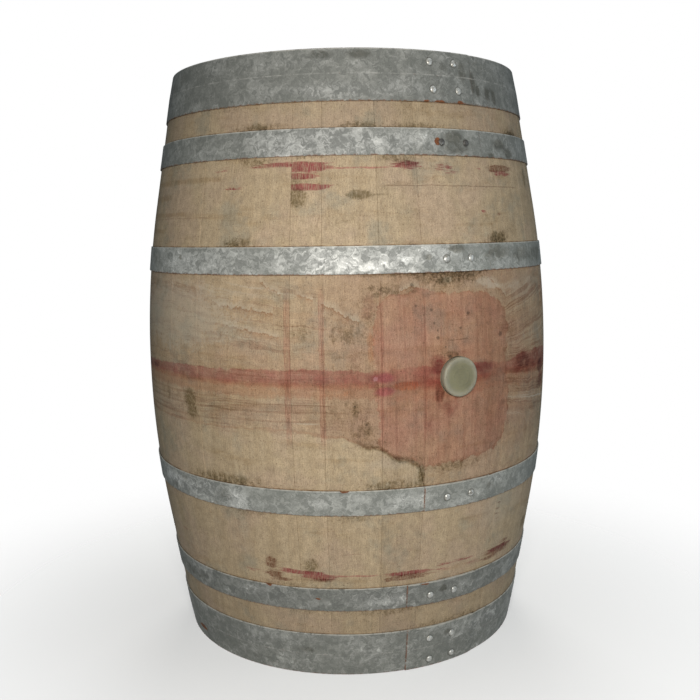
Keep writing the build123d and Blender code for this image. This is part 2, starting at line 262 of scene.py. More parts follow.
# The wine band at mid-height, as (angle, upper edge, lower edge).
WINE_BAND = [
    (-180, 486, 470), (-150, 492, 462), (-125, 486, 468), (-102, 483, 470), (-80, 489, 471),
    (-60, 491, 470), (-40, 493, 470), (-20, 491, 468), (-9, 494, 462), (0, 496, 460), (7, 492, 466),
    (14, 487, 472), (18, 488, 470), (22, 495, 466), (32, 497, 462), (48, 491, 462), (70, 488, 466),
    (100, 485, 470), (140, 490, 468), (180, 486, 470),
]
# Joints that wine ran down, as (angle, strength).
RED_JOINTS = [(-42.6, 0.6), (-41.8, 0.6), (-34.1, 0.6), (-33.5, 0.6), (-19.6, 0.45), (-8.8, 0.3)]
# Small dark spots, as (angle, height, radius in millimetres).
SPECKS = [
    (-7, 575, 4), (3.4, 567, 4.2), (-5.4, 534, 4.2), (-5.5, 545, 2.6), (-11.9, 612, 3.6),
    (-2.2, 505, 5.4), (14.4, 531, 5.4), (-11, 582, 3), (1, 546, 2.8), (-3.4, 520, 2.6),
    (-6.4, 556, 2.6), (-26.2, 440, 1.8), (-23.4, 412, 1.8), (-39, 210, 0.9), (-31, 650, 0.9),
]
# Lines across the staves, as (height, from angle, to angle, half its height in millimetres, kind).
HAIRLINES = [
    (779, -34, -15, 0.9, "pink"), (173, -34, -19, 0.9, "pink"), (753.5, -19, 30, 0.55, "crack"),
    (529, -3.6, 4, 0.7, "crack"), (713, -104, -60, 0.5, "faint"), (769, -104, -60, 3, "smear"),
    (746, -104, -83, 3.4, "smear"), (719, -104, -74, 2.6, "smear"), (694, -104, -86, 2.6, "smear"),
    (430, -100, -26, 1.2, "faint"), (447, -100, -60, 1.3, "faint"), (438, -100, -76, 1.1, "faint"),
    (420, -100, -80, 1.2, "faint"), (412, -100, -60, 1.3, "faint"), (416, -58, -36, 1, "faint"),
    (441, -56, -30, 0.8, "faint"),
]

# ---- Marks on the hoops -------------------------------------------------------------------------
HOOP_MARKS = {
    "smudge": [
        (12.4, 908, 1.3, 17, 0.9), (14.4, 896, 1, 9, 0.9), (18.8, 893, 1.4, 11, 0.9),
        (22, 889, 1.2, 13, 0.9), (20.4, 900, 2.6, 4, 0.7), (8.5, 922, 1.6, 20, 0.6),
        (16, 930, 3, 20, 0.35), (-34, 940, 4, 7, 0.7), (-23, 940, 4, 7, 0.7), (2.6, 822, 3.6, 12, 0.7),
        (3, 806, 4.4, 7, 0.7), (21.5, 818, 3.4, 9, 0.8), (26, 806, 2.6, 9, 0.8), (17, 800, 1.6, 4, 0.9),
        (9.5, 815, 3, 14, 0.25), (0.5, 663, 2.6, 7, 0.8), (15, 655, 6, 13, 0.65), (26, 650, 8, 14, 0.6),
        (38, 650, 9, 16, 0.55), (-7.5, 651, 1.3, 5, 0.7), (-76, 654, 0.8, 3, 1), (-92, 650, 8, 16, 0.4),
        (-55, 645, 2, 9, 0.35), (-78, 303, 2.6, 6, 0.6), (-84, 283, 3, 6, 0.5), (-80, 133, 8, 12, 0.5),
        (-60, 17, 8, 8, 0.4), (0, 928, 7, 16, 0.35), (-1, 888, 6, 12, 0.3), (-62, 293, 4, 12, 0.5),
        (12, 296, 2.2, 8, 0.6), (-0.8, 137, 1.3, 7, 0.8), (-42, 44, 4.2, 6, 0.6), (2.5, 56, 2, 6, 0.7),
        (5, 14, 2.2, 8, 0.5), (-90, 130, 12, 14, 0.5), (-95, 915, 5, 24, 0.5), (-86, 930, 3, 12, 0.5),
        (70, 650, 10, 14, 0.7), (120, 290, 8, 12, 0.7), (-140, 905, 8, 20, 0.5), (165, 815, 8, 12, 0.7),
        (-160, 130, 8, 12, 0.7), (100, 40, 8, 14, 0.5),
    ],
    "bright": [  # a painted highlight of the key light round -30°, and fresh zinc elsewhere
        (-26, 650, 26, 22, 1), (-60, 648, 20, 20, 0.7), (-32, 816, 20, 22, 1), (-12, 895, 6, 12, 0.6),
        (-30, 890, 12, 10, 0.5), (-68, 298, 5, 16, 1), (-59, 288, 4, 14, 0.9), (-24, 290, 20, 14, 0.35),
        (-9, 652, 8, 16, 0.25), (-80, 292, 11, 14, 1), (30, 816, 8, 14, 0.6), (-77, 142, 8, 10, 0.4),
        (-52, 134, 9, 12, 0.55), (-20, 134, 10, 12, 0.4), (-60, 48, 9, 11, 0.45), (20, 53, 7, 14, 0.85),
        (0, 812, 5, 12, 0.2), (88, 640, 20, 18, 0.6), (150, 300, 16, 16, 0.6), (-130, 820, 20, 16, 0.5),
    ],
    "rust": [
        (-0.5, 874, 1.8, 2.6, 0.9), (6.6, 875, 1.2, 3.4, 1), (-4.6, 875, 1, 1.8, 0.8),
        (-2.4, 817, 0.9, 6, 1), (-87, 20, 3.4, 4, 1), (-66, 276, 3, 2.4, 0.6), (-7, 150, 1.8, 1.8, 0.9),
        (-5.8, 145, 1.6, 1.6, 0.8), (-37, 136, 1.2, 2, 0.8), (-28.5, 800, 1, 1.6, 0.9),
        (-29, 312, 1.2, 1.8, 0.9), (130, 875, 3, 4, 0.9), (-150, 630, 3, 3, 0.8), (60, 313, 3, 3, 0.8),
        (-51, 152, 1, 2, 0.9),
    ],
}
HOOP_PAINTED_LIGHT = {                   # how bright each hoop is painted: painted light and shade for how the key light falls on it
    "top_head": 0.86,
    "top_quarter": 1.0,
    "top_bilge": 1.26,
    "bottom_bilge": 1.25,
    "bottom_quarter": 0.88,
    "bottom_head": 0.98,
}
FAR = 40.0                      # far from any edge, in millimetres


def depth_in_marks(theta, z, marks, centre):
    """How deep each point lies in the strongest of the marks: one half on a mark's edge."""
    depth = np.zeros(len(theta))
    for angle, height, half_angle, half_height, strength, *joint in marks:
        if joint and centre < joint[0]:
            continue
        across = wrapped(theta - angle) / half_angle
        along = (z / MM - height) / half_height
        inside = np.clip(1.5 - np.hypot(across, along), 0, 1)
        depth = np.maximum(depth, inside * strength)
    return depth


def outline_depth(theta, z, outline):
    """Signed distance from an outline, in metres, positive inside."""
    x = arc(theta)
    corners = [(arc(angle), height * MM) for angle, height in outline]
    distance = np.full(len(x), 1.0)
    inside = np.zeros(len(x), bool)
    for (ax, az), (bx, bz) in zip(corners, corners[1:] + corners[:1]):
        ex, ez = bx - ax, bz - az
        t = np.clip(((x - ax) * ex + (z - az) * ez) / (ex * ex + ez * ez), 0, 1)
        distance = np.minimum(distance, np.hypot(x - ax - t * ex, z - az - t * ez))
        crosses = (az > z) != (bz > z)
        inside ^= crosses & (x < ax + ex * (z - az) / (ez if ez else 1.0))
    return np.where(inside, distance, -distance)


def band_depth(theta, z):
    """Signed distance from the edges of the wine band, in metres, positive inside."""
    angles, upper, lower = (np.array(column) for column in zip(*WINE_BAND))
    return np.minimum(np.interp(theta, angles, upper) * MM - z, z - np.interp(theta, angles, lower) * MM)


def hoop_distance(z):
    """Distance to the nearest edge of a hoop, in metres, zero under the hoops."""
    distances = [np.maximum(np.maximum(low - z, z - high), 0) for low, high in HOOP_EDGES.values()]
    return np.min(distances, 0)


def scallop_height(theta, z):
    """Height above the nearest scalloped edge, in millimetres; far where there is none."""
    height = np.full(len(z), FAR)
    for (first, first_z), (last, last_z) in SCALLOPS:
        along = (theta - first) / (last - first)
        above = z / MM - (first_z + (last_z - first_z) * along)
        nearer = (along > 0) & (along < 1) & (np.abs(above) < np.abs(height))
        height = np.where(nearer, above, height)
    return height


def shade_towards_ends(z):
    """Painted shade towards the ends, and darker still between the head and quarter hoops."""
    return np.interp(np.abs(z - MIDDLE), [0.16, 0.24, 0.325, 0.365], [0, 0.8, 1.0, 4.2])


def tide_height(theta, z):
    """Height along the tide lines, which spread like a fan on both sides of the bung."""
    right = np.clip(theta - 17, 0, 60) * 0.016
    left = np.clip(-24 - theta, 0, 60) * np.where(z > MIDDLE, 0.0110, 0.0020)
    return MIDDLE + (z - MIDDLE) / (1 + right + left)


def tide_strength(theta, z):
    """Where the tide lines show: beside the bung, between the bilge hoops."""
    left = np.interp(theta, [-115, -100, -40, -24], [0, 1, 1, 0])
    right = np.interp(theta, [14, 19, 60, 85], [0, 1.8, 1.8, 0])
    rear = np.interp(np.abs(theta), [120, 140], [0, 0.6])
    inside = np.interp(z / MM, [392, 404, 608, 625], [0, 1, 1, 0])
    return np.maximum(np.maximum(left, right), rear) * inside


def soak_depth(theta, z):
    """Signed distance from the edges of the soaked zone between the bilge hoops."""
    angles = [-180, -60, -45, -38, -33.5, -29, -26, -24, -20, -17, -13, -10, -9.2, -8.4, 50, 75, 180]
    heights = [402, 401, 403, 400, 394, 392, 386, 379, 373, 361, 352, 343, 318, 308, 308, 392, 402]
    return np.minimum(z - np.interp(theta, angles, heights) * MM, 0.630 - z)


def soak_strength(theta):
    """How strongly the wood is soaked, by angle."""
    angles = [-180, -120, -95, -75, -45, -34, -26, -21.5, -15, 12, 18, 28, 45, 90, 120, 180]
    amounts = [0.5, 0.3, 0.1, 0.1, 0.20, 0.60, 1.0, 1.0, 0.95, 0.95, 0.90, 0.7, 0.35, 0.2, 0.3, 0.5]
    return np.interp(theta, angles, amounts)


# ---- Meshes -------------------------------------------------------------------------------------
def grid_quads(rows, columns, closed=False):
    """Quads between rows of vertices that follow one another."""
    row = np.arange(rows - 1)[:, None] * columns
    column = np.arange(columns if closed else columns - 1)[None, :]
    following = (column + 1) % columns
    corners = [row + column, row + following, row + columns + following, row + columns + column]
    return np.stack(corners, -1).reshape(-1, 4)


def make_object(name, points, faces, slots=None):
    mesh = bpy.data.meshes.new(name)
    mesh.from_pydata(np.asarray(points).tolist(), [], [list(map(int, face)) for face in faces])
    if slots is not None:
        mesh.polygons.foreach_set("material_index", np.asarray(slots, np.int32))
    mesh.shade_smooth()
    mesh.set_sharp_from_angle(angle=math.radians(38))
    mesh.update()
    piece = bpy.data.objects.new(name, mesh)
    bpy.context.scene.collection.objects.link(piece)
    return piece


def give(piece, **values):
    """Stores numbers or vectors on a piece's points, for its material to read."""
    for name, value in values.items():
        value = np.asarray(value, np.float32)
        kind, field = ("FLOAT_VECTOR", "vector") if value.ndim == 2 else ("FLOAT", "value")
        piece.data.attributes.new(name, kind, "POINT").data.foreach_set(field, value.ravel())


def in_mm(distance, reach=0.05):
    """A distance in millimetres, up to a reach in metres on either side."""
    return np.clip(distance, -reach, reach) / MM


def place(theta, radius, z):
    """Points at an angle from the bung, a radius and a height."""
    around, radius, z = np.broadcast_arrays(np.radians(theta), radius, z)
    return np.stack([radius * np.sin(around), -radius * np.cos(around), z], -1)


def round_off(distance, radius):
    """How far a rounded edge lies below the surface at a distance from the edge."""
    return radius - np.sqrt(radius**2 - np.clip(radius - distance, 0, radius) ** 2)


def smooth_wave(theta, z, seed, size):
    """A slow random wave between -1 and 1 over angle and height."""
    rng = np.random.default_rng(seed)
    total = 0
    for _ in range(5):
        kx, kz, phase = rng.normal(0, 1, 3)
        total = total + np.sin(arc(theta) / size * kx + z / size * kz + phase * 5)
    return total / 5


# ---- Staves -------------------------------------------------------------------------------------
GRID_STEP = 0.003
EDGE_COLUMNS = np.array([0.0, 0.0003, 0.0008, 0.0018])
JOINT_ROUNDING = 0.0005
END_ROUNDING = 0.0016
HOLE_WINDOW = 0.043             # half the side of the square round the hole meshed in rings
HOLE_RINGS = 5
HOLE_LIP = 0.0012


def stave_rows():
    """Heights of a stave's rows: evenly spaced, and at each edge of its ends and grooves."""
    end = [0, 0.0003, 0.0009, 0.0016, BEVEL_HEIGHT, MIDDLE - CREASE_HALF]
    for half in (CROZE_FLOOR / 2, CROZE_MOUTH / 2):
        end += [HEAD_OFFSET - half, HEAD_OFFSET + half]
    special = np.array(end + [HEIGHT - z for z in end])
    even = np.arange(GRID_STEP, HEIGHT - GRID_STEP / 2, GRID_STEP)
    clear = np.abs(even[:, None] - special[None, :]).min(1) > 0.35 * GRID_STEP
    return np.sort(np.concatenate([even[clear], special]))


def stave_columns(width):
    """Places across a stave from 0 to 1, closer together at its two joints."""
    length = arc(width)
    inset = EDGE_COLUMNS[-1]
    count = 3 * max(2, round((length - 2 * inset) / GRID_STEP / 3))
    middle = np.linspace(inset, length - inset, count + 1)
    return np.concatenate([EDGE_COLUMNS[:-1], middle, length - EDGE_COLUMNS[:-1][::-1]]) / length


class Stave:
    """A stave's place on the barrel, and its finished outer face."""

    def __init__(self, number, name):
        points = node_points(name)
        self.number = number
        self.start, end = angle_range(points, float(angle_of(points.mean(0))))
        self.width = end - self.start
        self.centre = wrapped(self.start + self.width / 2)

    def face(self, theta, z):
        """Radius of the outer face: planed, a little uneven, with rounded edges."""
        across = (theta - self.start) / self.width
        from_joint = np.minimum(across, 1 - across) * math.radians(self.width) * stave_radius(z)
        rng = np.random.default_rng(SEED + self.number)
        sunk = rng.uniform(0.05, 0.30) * MM
        wave = 0.12 * MM * (1 + smooth_wave(theta, z, SEED + self.number, 0.05))
        rounded = round_off(np.maximum(from_joint, 0), JOINT_ROUNDING)
        rounded = rounded + round_off(np.minimum(z, HEIGHT - z), END_ROUNDING)
        return stave_radius(z) - sunk - wave - np.minimum(rounded, 1.8 * MM)

    def face_at(self, x, z):
        return self.face(np.degrees(np.arctan2(x, BILGE_RADIUS)), z)


def make_stave(number, name):
    stave = Stave(number, name)
    z = stave_rows()
    across = stave_columns(stave.width)
    drilled = name == "bung_stave"
    coarse = np.concatenate([across[:1], across[3:-3:3], across[-1:]])
    outer_theta = stave.start + across * stave.width
    inner_theta = stave.start + (across if drilled else coarse)[::-1] * stave.width
    outer = place(outer_theta, stave.face(outer_theta, z[:, None]), z[:, None])
    inner = place(inner_theta, inner_radius(z)[:, None], z[:, None])
    loop = np.concatenate([outer, inner], 1)
    rows, columns = loop.shape[:2]
    points = loop.reshape(-1, 3)
    faces = grid_quads(rows, columns, closed=True)
    kind = np.full(columns, 1)
    kind[: len(across) - 1] = 0
    kind[[len(across) - 1, columns - 1]] = 2
    slots = np.tile(kind, rows - 1)
    if drilled:
        points, faces, slots = drill(points, faces, slots, z, outer_theta, columns, stave)
    faces = [*faces, list(range(columns))[::-1], list(range((rows - 1) * columns, rows * columns))]
    piece = make_object(f"{name}_wood", points, faces, [*slots, 2, 2])
    paint_stave(piece, points, stave)
    for material in (OAK_OUTSIDE, OAK_INSIDE, OAK_END):
        piece.data.materials.append(material)
    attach(piece, "barrel")
    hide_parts(name)


def window_ring(rows, columns, width):
    """Vertex numbers round a window of a grid with that many columns in a row."""
    first, last = rows
    left, right = columns
    ring = [first * width + c for c in range(left, right)]
    ring += [r * width + right for r in range(first, last)]
    ring += [last * width + c for c in range(right, left, -1)]
    return ring + [r * width + left for r in range(last, first, -1)]


def hole_points(corners, share, radius, surface):
    """Points on the way from a square ring to the round hole, on a surface of given radius."""
    x, z = corners[:, 0], corners[:, 2] - MIDDLE
    around = np.arctan2(z, x)
    x = (1 - share) * x + share * radius * np.cos(around)
    z = (1 - share) * z + share * radius * np.sin(around) + MIDDLE
    return np.stack([x, -np.sqrt(surface(x, z) ** 2 - x**2), z], -1)


def hole_rings(outer_corners, inner_corners, stave):
    """Rings from the outer window over the rounded lip and through the hole to the inner one."""
    mouth = BUNG_RADIUS + BUNG_HOLE_GAP
    foot = mouth - BUNG_TAPER * STAVE_THICKNESS
    steps = [step / HOLE_RINGS for step in range(1, HOLE_RINGS + 1)]
    rings = [hole_points(outer_corners, share, mouth + HOLE_LIP, stave.face_at) for share in steps]
    for share in (0.35, 1.0):
        ring = hole_points(outer_corners, 1.0, mouth + HOLE_LIP * (1 - share), stave.face_at)
        ring[:, 1] += HOLE_LIP * (1 - math.sqrt(1 - share**2))
        rings.append(ring)
    top = rings[-1]
    bottom = hole_points(inner_corners, 1.0, foot, lambda x, z: inner_radius(z))
    rings += [top + (bottom - top) * share for share in (0.25, 0.5, 0.75, 1.0)]
    for share in steps[-2::-1]:
        rings.append(hole_points(inner_corners, share, foot, lambda x, z: inner_radius(z)))
    return rings


def drill(points, quads, slots, z, outer_theta, columns, stave):
    """Opens the tapered bung hole in the grid of the bung stave."""
    near = np.flatnonzero(np.abs(arc(outer_theta)) < HOLE_WINDOW)
    level = np.flatnonzero(np.abs(z - MIDDLE) < HOLE_WINDOW)
    span = (int(near[0]), int(near[-1]))
    rows = (int(level[0]), int(level[-1]))
    mirrored = (columns - 1 - span[1], columns - 1 - span[0])
    quad_row = np.repeat(np.arange(len(z) - 1), columns)
    quad_column = np.tile(np.arange(columns), len(z) - 1)
    cut = np.zeros(len(quads), bool)
    for left, right in (span, mirrored):
        cut |= (quad_column >= left) & (quad_column < right)
    cut &= (quad_row >= rows[0]) & (quad_row < rows[1])
    outer_ring = window_ring(rows, span, columns)
    inner_ring = window_ring(rows, mirrored, columns)
    # The inner window runs the other way round, so its ring is reversed from its first corner on.
    corner = inner_ring.index(rows[0] * columns + mirrored[1])
    inner_ring = (inner_ring[corner:] + inner_ring[:corner])[::-1]
    inner_ring = inner_ring[-1:] + inner_ring[:-1]
    added = hole_rings(points[outer_ring], points[inner_ring], stave)
    count = len(outer_ring)
    numbers = [len(points) + index * count + np.arange(count) for index in range(len(added))]
    numbers = [np.array(outer_ring), *numbers, np.array(inner_ring)]
    kinds = [0] * HOLE_RINGS + [2] * 6 + [1] * HOLE_RINGS
    new_quads = [
        np.stack([ring, np.roll(ring, -1), np.roll(following, -1), following], -1)
        for ring, following in zip(numbers, numbers[1:])
    ]
    faces = np.concatenate([quads[~cut], *new_quads])
    slots = np.concatenate([slots[~cut], np.repeat(kinds, count)])
    return np.concatenate([points, *added]), faces, slots


def paint_stave(piece, points, stave):
    """Gives a stave the values that its material draws grain, stains and painted shade from."""
    start, width = stave.start, stave.width
    theta = (angle_of(points) - start + 90) % 360 + start - 90
    flat = wrapped(theta)
    z = points[:, 2]
    rng = np.random.default_rng(SEED + 100 + stave.number)
    from_joint = np.minimum(theta - start, start + width - theta)
    give(
        piece,
        grain_at=np.stack([arc(theta), z, np.full(len(z), stave.number * 3.7)], -1),
        place_at=np.stack([arc(flat), z, 0 * z], -1),
        tone=rng.uniform(-1.3, 1.3) - shade_towards_ends(z),
        joint=in_mm(np.maximum(arc(from_joint), 0), 0.02),
        edge=in_mm(hoop_distance(z)),
        wine=in_mm(outline_depth(flat, z, WINE_OUTLINE)),
        band=in_mm(band_depth(flat, z)),
        tide=tide_height(flat, z),
        scallop=scallop_height(flat, z),
        tide_strength=tide_strength(flat, z),
        soak=in_mm(soak_depth(flat, z)),
        soak_strength=soak_strength(flat),
    )
    for name, marks in WOOD_MARKS.items():
        give(piece, **{name: depth_in_marks(flat, z, marks, stave.centre)})


# ---- Hoops and rivets ---------------------------------------------------------------------------
STRIP_EDGE = np.array([0.0, 0.0002, 0.0005, 0.0010])
STRIP_ROUNDING = 0.0005
STRIP_ROW = 0.004
DIMPLE_RADIUS = 0.008
DIMPLE_DEPTH = 0.0003
FINE_TRAVEL = 24.0              # degrees near the strip's ends that have close columns


def lap_range(hoop):
    """Angles between which a hoop's strip lies double."""
    points = node_points(f"{hoop}_hoop")
    near = points[np.abs(points[:, 2] - HOOP_EDGES[hoop][0]) < 0.05 * MM]
    reach = radius_of(near)
    centre = float(np.mean([angle for angle, _ in RIVETS[hoop]]))
    return angle_range(near[reach > reach.max() - 0.2 * MM], centre)


def strip_line(low, high):
    """Inner line of a hoop as CAD has it: straight, or creased where the staves are."""
    for crease in (MIDDLE - CREASE_HALF, MIDDLE + CREASE_HALF):
        if low < crease < high:
            z = np.array([low, crease, high])
            return z, stave_radius(z) + HOOP_GAP
    middle = (low + high) / 2
    z = np.array([low, high])
    return z, stave_radius(middle) + HOOP_GAP + stave_slope(middle) * (z - middle)


def strip_heights(low, high):
    """Heights of a strip's rows, closer together at its edges, and one on its crease."""
    length = high - low
    inset = STRIP_EDGE[-1]
    count = max(2, round((length - 2 * inset) / STRIP_ROW))
    middle = np.linspace(inset, length - inset, count + 1)
    creases = np.array([c - low for c in (MIDDLE - CREASE_HALF, MIDDLE + CREASE_HALF) if low < c < high])
    edges = STRIP_EDGE[:-1]
    return low + np.sort(np.concatenate([edges, middle, length - edges, creases]))


def strip_section(number, hoop, theta, travel, lap, z):
    """Outer and inner radius of a hoop's strip along its way round and over its width."""
    base = np.interp(z, *strip_line(*HOOP_EDGES[hoop]))[None, :]
    mean = base.mean()
    rise = LAP_RISE * np.clip((travel - 360 + RAMP_DEG) / RAMP_DEG, 0, 1)[:, None]
    from_edge = np.minimum(z - z[0], z[-1] - z)
    from_tip = np.radians(np.minimum(travel, 360 + lap - travel)) * mean
    drop = round_off(from_edge, STRIP_ROUNDING)[None, :] + round_off(from_tip, STRIP_ROUNDING)[:, None]
    uneven = 0.10 * MM * (1 + smooth_wave(theta[:, None], z[None, :], SEED + 50 + number, 0.03))
    outer = base + rise + STRIP - np.minimum(drop, STRIP / 2) - np.minimum(uneven, STRIP / 3)
    for angle, height in RIVETS[hoop]:
        off = np.hypot(np.radians(wrapped(theta[:, None] - angle)) * mean, z[None, :] - height)
        outer -= DIMPLE_DEPTH * np.exp(-((off / DIMPLE_RADIUS) ** 2)) * (travel > 200)[:, None]
    return outer, base + rise


def make_hoop(number, hoop):
    direction = HOOPS[hoop]
    lap_low, lap_high = lap_range(hoop)
    lap = lap_high - lap_low
    travel = np.concatenate([
        np.arange(0, FINE_TRAVEL, 0.35),
        np.arange(FINE_TRAVEL, 360 - FINE_TRAVEL, 1.0),
        np.arange(360 - FINE_TRAVEL, 360 + lap, 0.35),
        [360 + lap],
    ])
    theta = (lap_low if direction > 0 else lap_high) + direction * travel
    z = strip_heights(*HOOP_EDGES[hoop])
    outer, inner = strip_section(number, hoop, theta, travel, lap, z)
    loop = np.concatenate([place(theta[:, None], outer, z), place(theta[:, None], inner, z)[:, ::-1]], 1)
    rows, columns = loop.shape[:2]
    faces = [
        *grid_quads(rows, columns, closed=True),
        list(range(columns)),
        list(range((rows - 1) * columns, rows * columns))[::-1],
    ]
    if direction > 0:
        faces = [face[::-1] for face in faces]
    points = loop.reshape(-1, 3)
    piece = make_object(f"{hoop}_hoop_steel", points, faces)
    paint_hoop(piece, points[:, 2], np.repeat(theta, columns), number, hoop)
    to_tip = np.repeat(360 + lap - travel, columns)
    give(piece, tip=in_mm(arc(to_tip)))
    piece.data.materials.append(STEEL)
    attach(piece, "barrel")
    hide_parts(f"{hoop}_hoop")


def rivet_distance(theta, z, hoop):
    """Distance to the edge of the nearest rivet head, in millimetres."""
    distances = [
        np.hypot(arc(wrapped(theta - angle)), z - height) - RIVET_RADIUS
        for angle, height in RIVETS[hoop]
    ]
    return np.minimum(np.min(distances, 0) / MM, FAR)


def paint_hoop(piece, z, theta, number, hoop):
    """Gives a hoop the values that its material draws zinc, dirt, rust and painted light from."""
    low, high = HOOP_EDGES[hoop]
    even = np.ones(len(z))
    crease = np.abs(np.abs(z - MIDDLE) - CREASE_HALF) if hoop.endswith("head") else even
    give(
        piece,
        grain_at=np.stack([arc(theta), z, even * number * 5.3], -1),
        edge=in_mm(np.minimum(z - low, high - z)),
        upper=in_mm(high - z),
        crease=in_mm(crease),
        rusty=even * (0.85 if hoop.startswith("bottom") else 0.25),
        tone=even * HOOP_PAINTED_LIGHT[hoop],
        rivet=rivet_distance(theta, z, hoop),
    )
    for name, marks in HOOP_MARKS.items():
        give(piece, **{name: depth_in_marks(wrapped(theta), z, marks, 0)})


RIVET_SEGMENTS = 28
RIVET_RINGS = 7


def dome_points(angle, height, reach, seed):
    """A hammered dome on the lap, from its crown down to a skirt under the strip's surface."""
    rng = np.random.default_rng(SEED + 200 + seed)
    around = np.radians(angle)
    tilt = math.atan(float(stave_slope(height)))
    side = np.array([math.cos(around), math.sin(around), 0.0])
    flat = np.array([side[1], -side[0], 0.0])
    out = math.cos(tilt) * flat - [0.0, 0.0, math.sin(tilt)]
    up = np.cross(out, side)
    centre = place(angle, reach, height)
    lean = rng.normal(0, 0.04, 2)
    turn = np.linspace(0, 2 * math.pi, RIVET_SEGMENTS, endpoint=False)
    bulge = 1 + 0.03 * np.sin(2 * turn + rng.uniform(0, 6)) + 0.02 * np.sin(3 * turn + rng.uniform(0, 6))
    points = []
    for share in np.arange(1, RIVET_RINGS + 1) / RIVET_RINGS:
        radius = RIVET_RADIUS * math.sin(share * math.pi / 2) * bulge
        rise = RIVET_HEIGHT * 0.94 * math.cos(share * math.pi / 2) ** 0.9
        rise = rise + radius * (lean[0] * np.cos(turn) + lean[1] * np.sin(turn)) * (1 - share)
        ring = centre + np.outer(radius * np.cos(turn), side) + np.outer(radius * np.sin(turn), up)
        points.append(ring + np.outer(rise, out))
    skirt = points[-1] - 0.7 * MM * out
    return np.concatenate([[centre + RIVET_HEIGHT * 0.94 * out], *points, skirt])


def dome_faces(first):
    ring = np.arange(RIVET_SEGMENTS)
    body = grid_quads(RIVET_RINGS + 1, RIVET_SEGMENTS, closed=True) + first + 1
    last = first + 1 + RIVET_RINGS * RIVET_SEGMENTS
    return [
        *[[first, first + 1 + k, first + 1 + (k + 1) % RIVET_SEGMENTS] for k in ring],
        *[list(quad[::-1]) for quad in body],
        list(last + ring[::-1]),
    ]


def make_rivets(number, hoop):
    points = []
    faces = []
    for index, (angle, height) in enumerate(RIVETS[hoop]):
        strip = float(np.interp(height, *strip_line(*HOOP_EDGES[hoop])))
        faces += dome_faces(sum(len(group) for group in points))
        reach = strip + LAP_RISE + STRIP - 0.3 * MM
        points.append(dome_points(angle, height, reach, 10 * number + index))
    points = np.concatenate(points)
    piece = make_object(f"{hoop}_rivet_heads", points, faces)
    give(piece, stain=np.full(len(points), 1.0 if hoop == "top_quarter" else 0.0))
    piece.data.materials.append(RIVET_STEEL)
    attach(piece, "barrel")
    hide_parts(f"{hoop}_rivets")


# ---- Bung ---------------------------------------------------------------------------------------
BUNG_SEGMENTS = 96


def bung_outline():
    """(radius, height above the stave) from the middle of the face to the middle of the foot."""
    low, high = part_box("bung")
    proud = -BILGE_RADIUS - low.y
    depth = high.y + BILGE_RADIUS
    rounding = 3.4 * MM
    rim = BUNG_RADIUS + BUNG_TAPER * (proud - rounding) - rounding
    foot = BUNG_RADIUS - BUNG_TAPER * depth
    ring = [(12.4, 0.10), (13.2, 0.14), (14.0, 0.10)]
    flat = [(r, 0.0) for r in (2.5, 6, 9, 12)] + ring + [(r, 0.0) for r in (14.4, 17, 20, 22.4)]
    outline = [(r * MM, proud + (up - 0.5) * MM) for r, up in flat + [(23.2, 0.2), (24.2, 0.45)]]
    outline.append((rim, proud))
    for angle in np.radians([15, 30, 45, 60, 75, 90]):
        outline.append((rim + rounding * math.sin(angle), proud - rounding * (1 - math.cos(angle))))
    for up in (2, 0, -4, -9, -14, -20, -26, -31):
        outline.append((BUNG_RADIUS + BUNG_TAPER * up * MM, up * MM))
    outline += [(foot + 0.25 * MM, 2.0 * MM - depth), (foot - 0.4 * MM, 0.9 * MM - depth)]
    return outline + [(foot - 1.8 * MM, -depth), (foot - 6 * MM, -depth), (foot * 0.4, -depth)]


def make_bung():
    turn = np.linspace(0, 2 * math.pi, BUNG_SEGMENTS, endpoint=False)
    outline = bung_outline()
    radius, rise = np.array(outline).T[:, :, None]
    y = -BILGE_RADIUS - rise
    ring = np.broadcast_arrays(radius * np.cos(turn), y, MIDDLE + radius * np.sin(turn))
    rings = np.stack(ring, -1).reshape(-1, 3)
    ends = [[0, y[0, 0] + 0.15 * MM, MIDDLE], [0, y[-1, 0], MIDDLE]]
    last = (len(outline) - 1) * BUNG_SEGMENTS
    centre = len(rings)
    faces = [list(quad[::-1]) for quad in grid_quads(len(outline), BUNG_SEGMENTS, closed=True)]
    for k in range(BUNG_SEGMENTS):
        following = (k + 1) % BUNG_SEGMENTS
        faces += [[centre, k, following], [centre + 1, last + following, last + k]]
    points = np.concatenate([rings, ends])
    piece = make_object("bung_silicone", points, faces)
    give(piece, wet=np.clip((points[:, 1] + BILGE_RADIUS) / 0.012, 0, 1))
    piece.data.materials.append(SILICONE)
    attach(piece, "bung")
    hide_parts("bung")


# ---- Materials ----------------------------------------------------------------------------------
def add_node(tree, kind, inputs=None, output=0, **settings):
    """Adds a shader node fed by values or other nodes' outputs; returns one of its outputs."""
    node = tree.nodes.new(f"ShaderNode{kind}")
    for name, setting in settings.items():
        setattr(node, name, setting)
    for name, value in (inputs or {}).items():
        socket = node.inputs[name]
        if isinstance(value, Value):
            tree.links.new(value.socket, socket)
        else:
            socket.default_value = (*value, 1.0) if socket.type == "RGBA" else value
    return Value(tree, node.outputs[output]) if len(node.outputs) else None


def operate(operation, first, second=0.0):
    tree = first.tree if isinstance(first, Value) else second.tree
    return add_node(tree, "Math", {0: first, 1: second}, operation=operation)


def hypotenuse(x, y):
    return operate("SQRT", x * x + y * y)


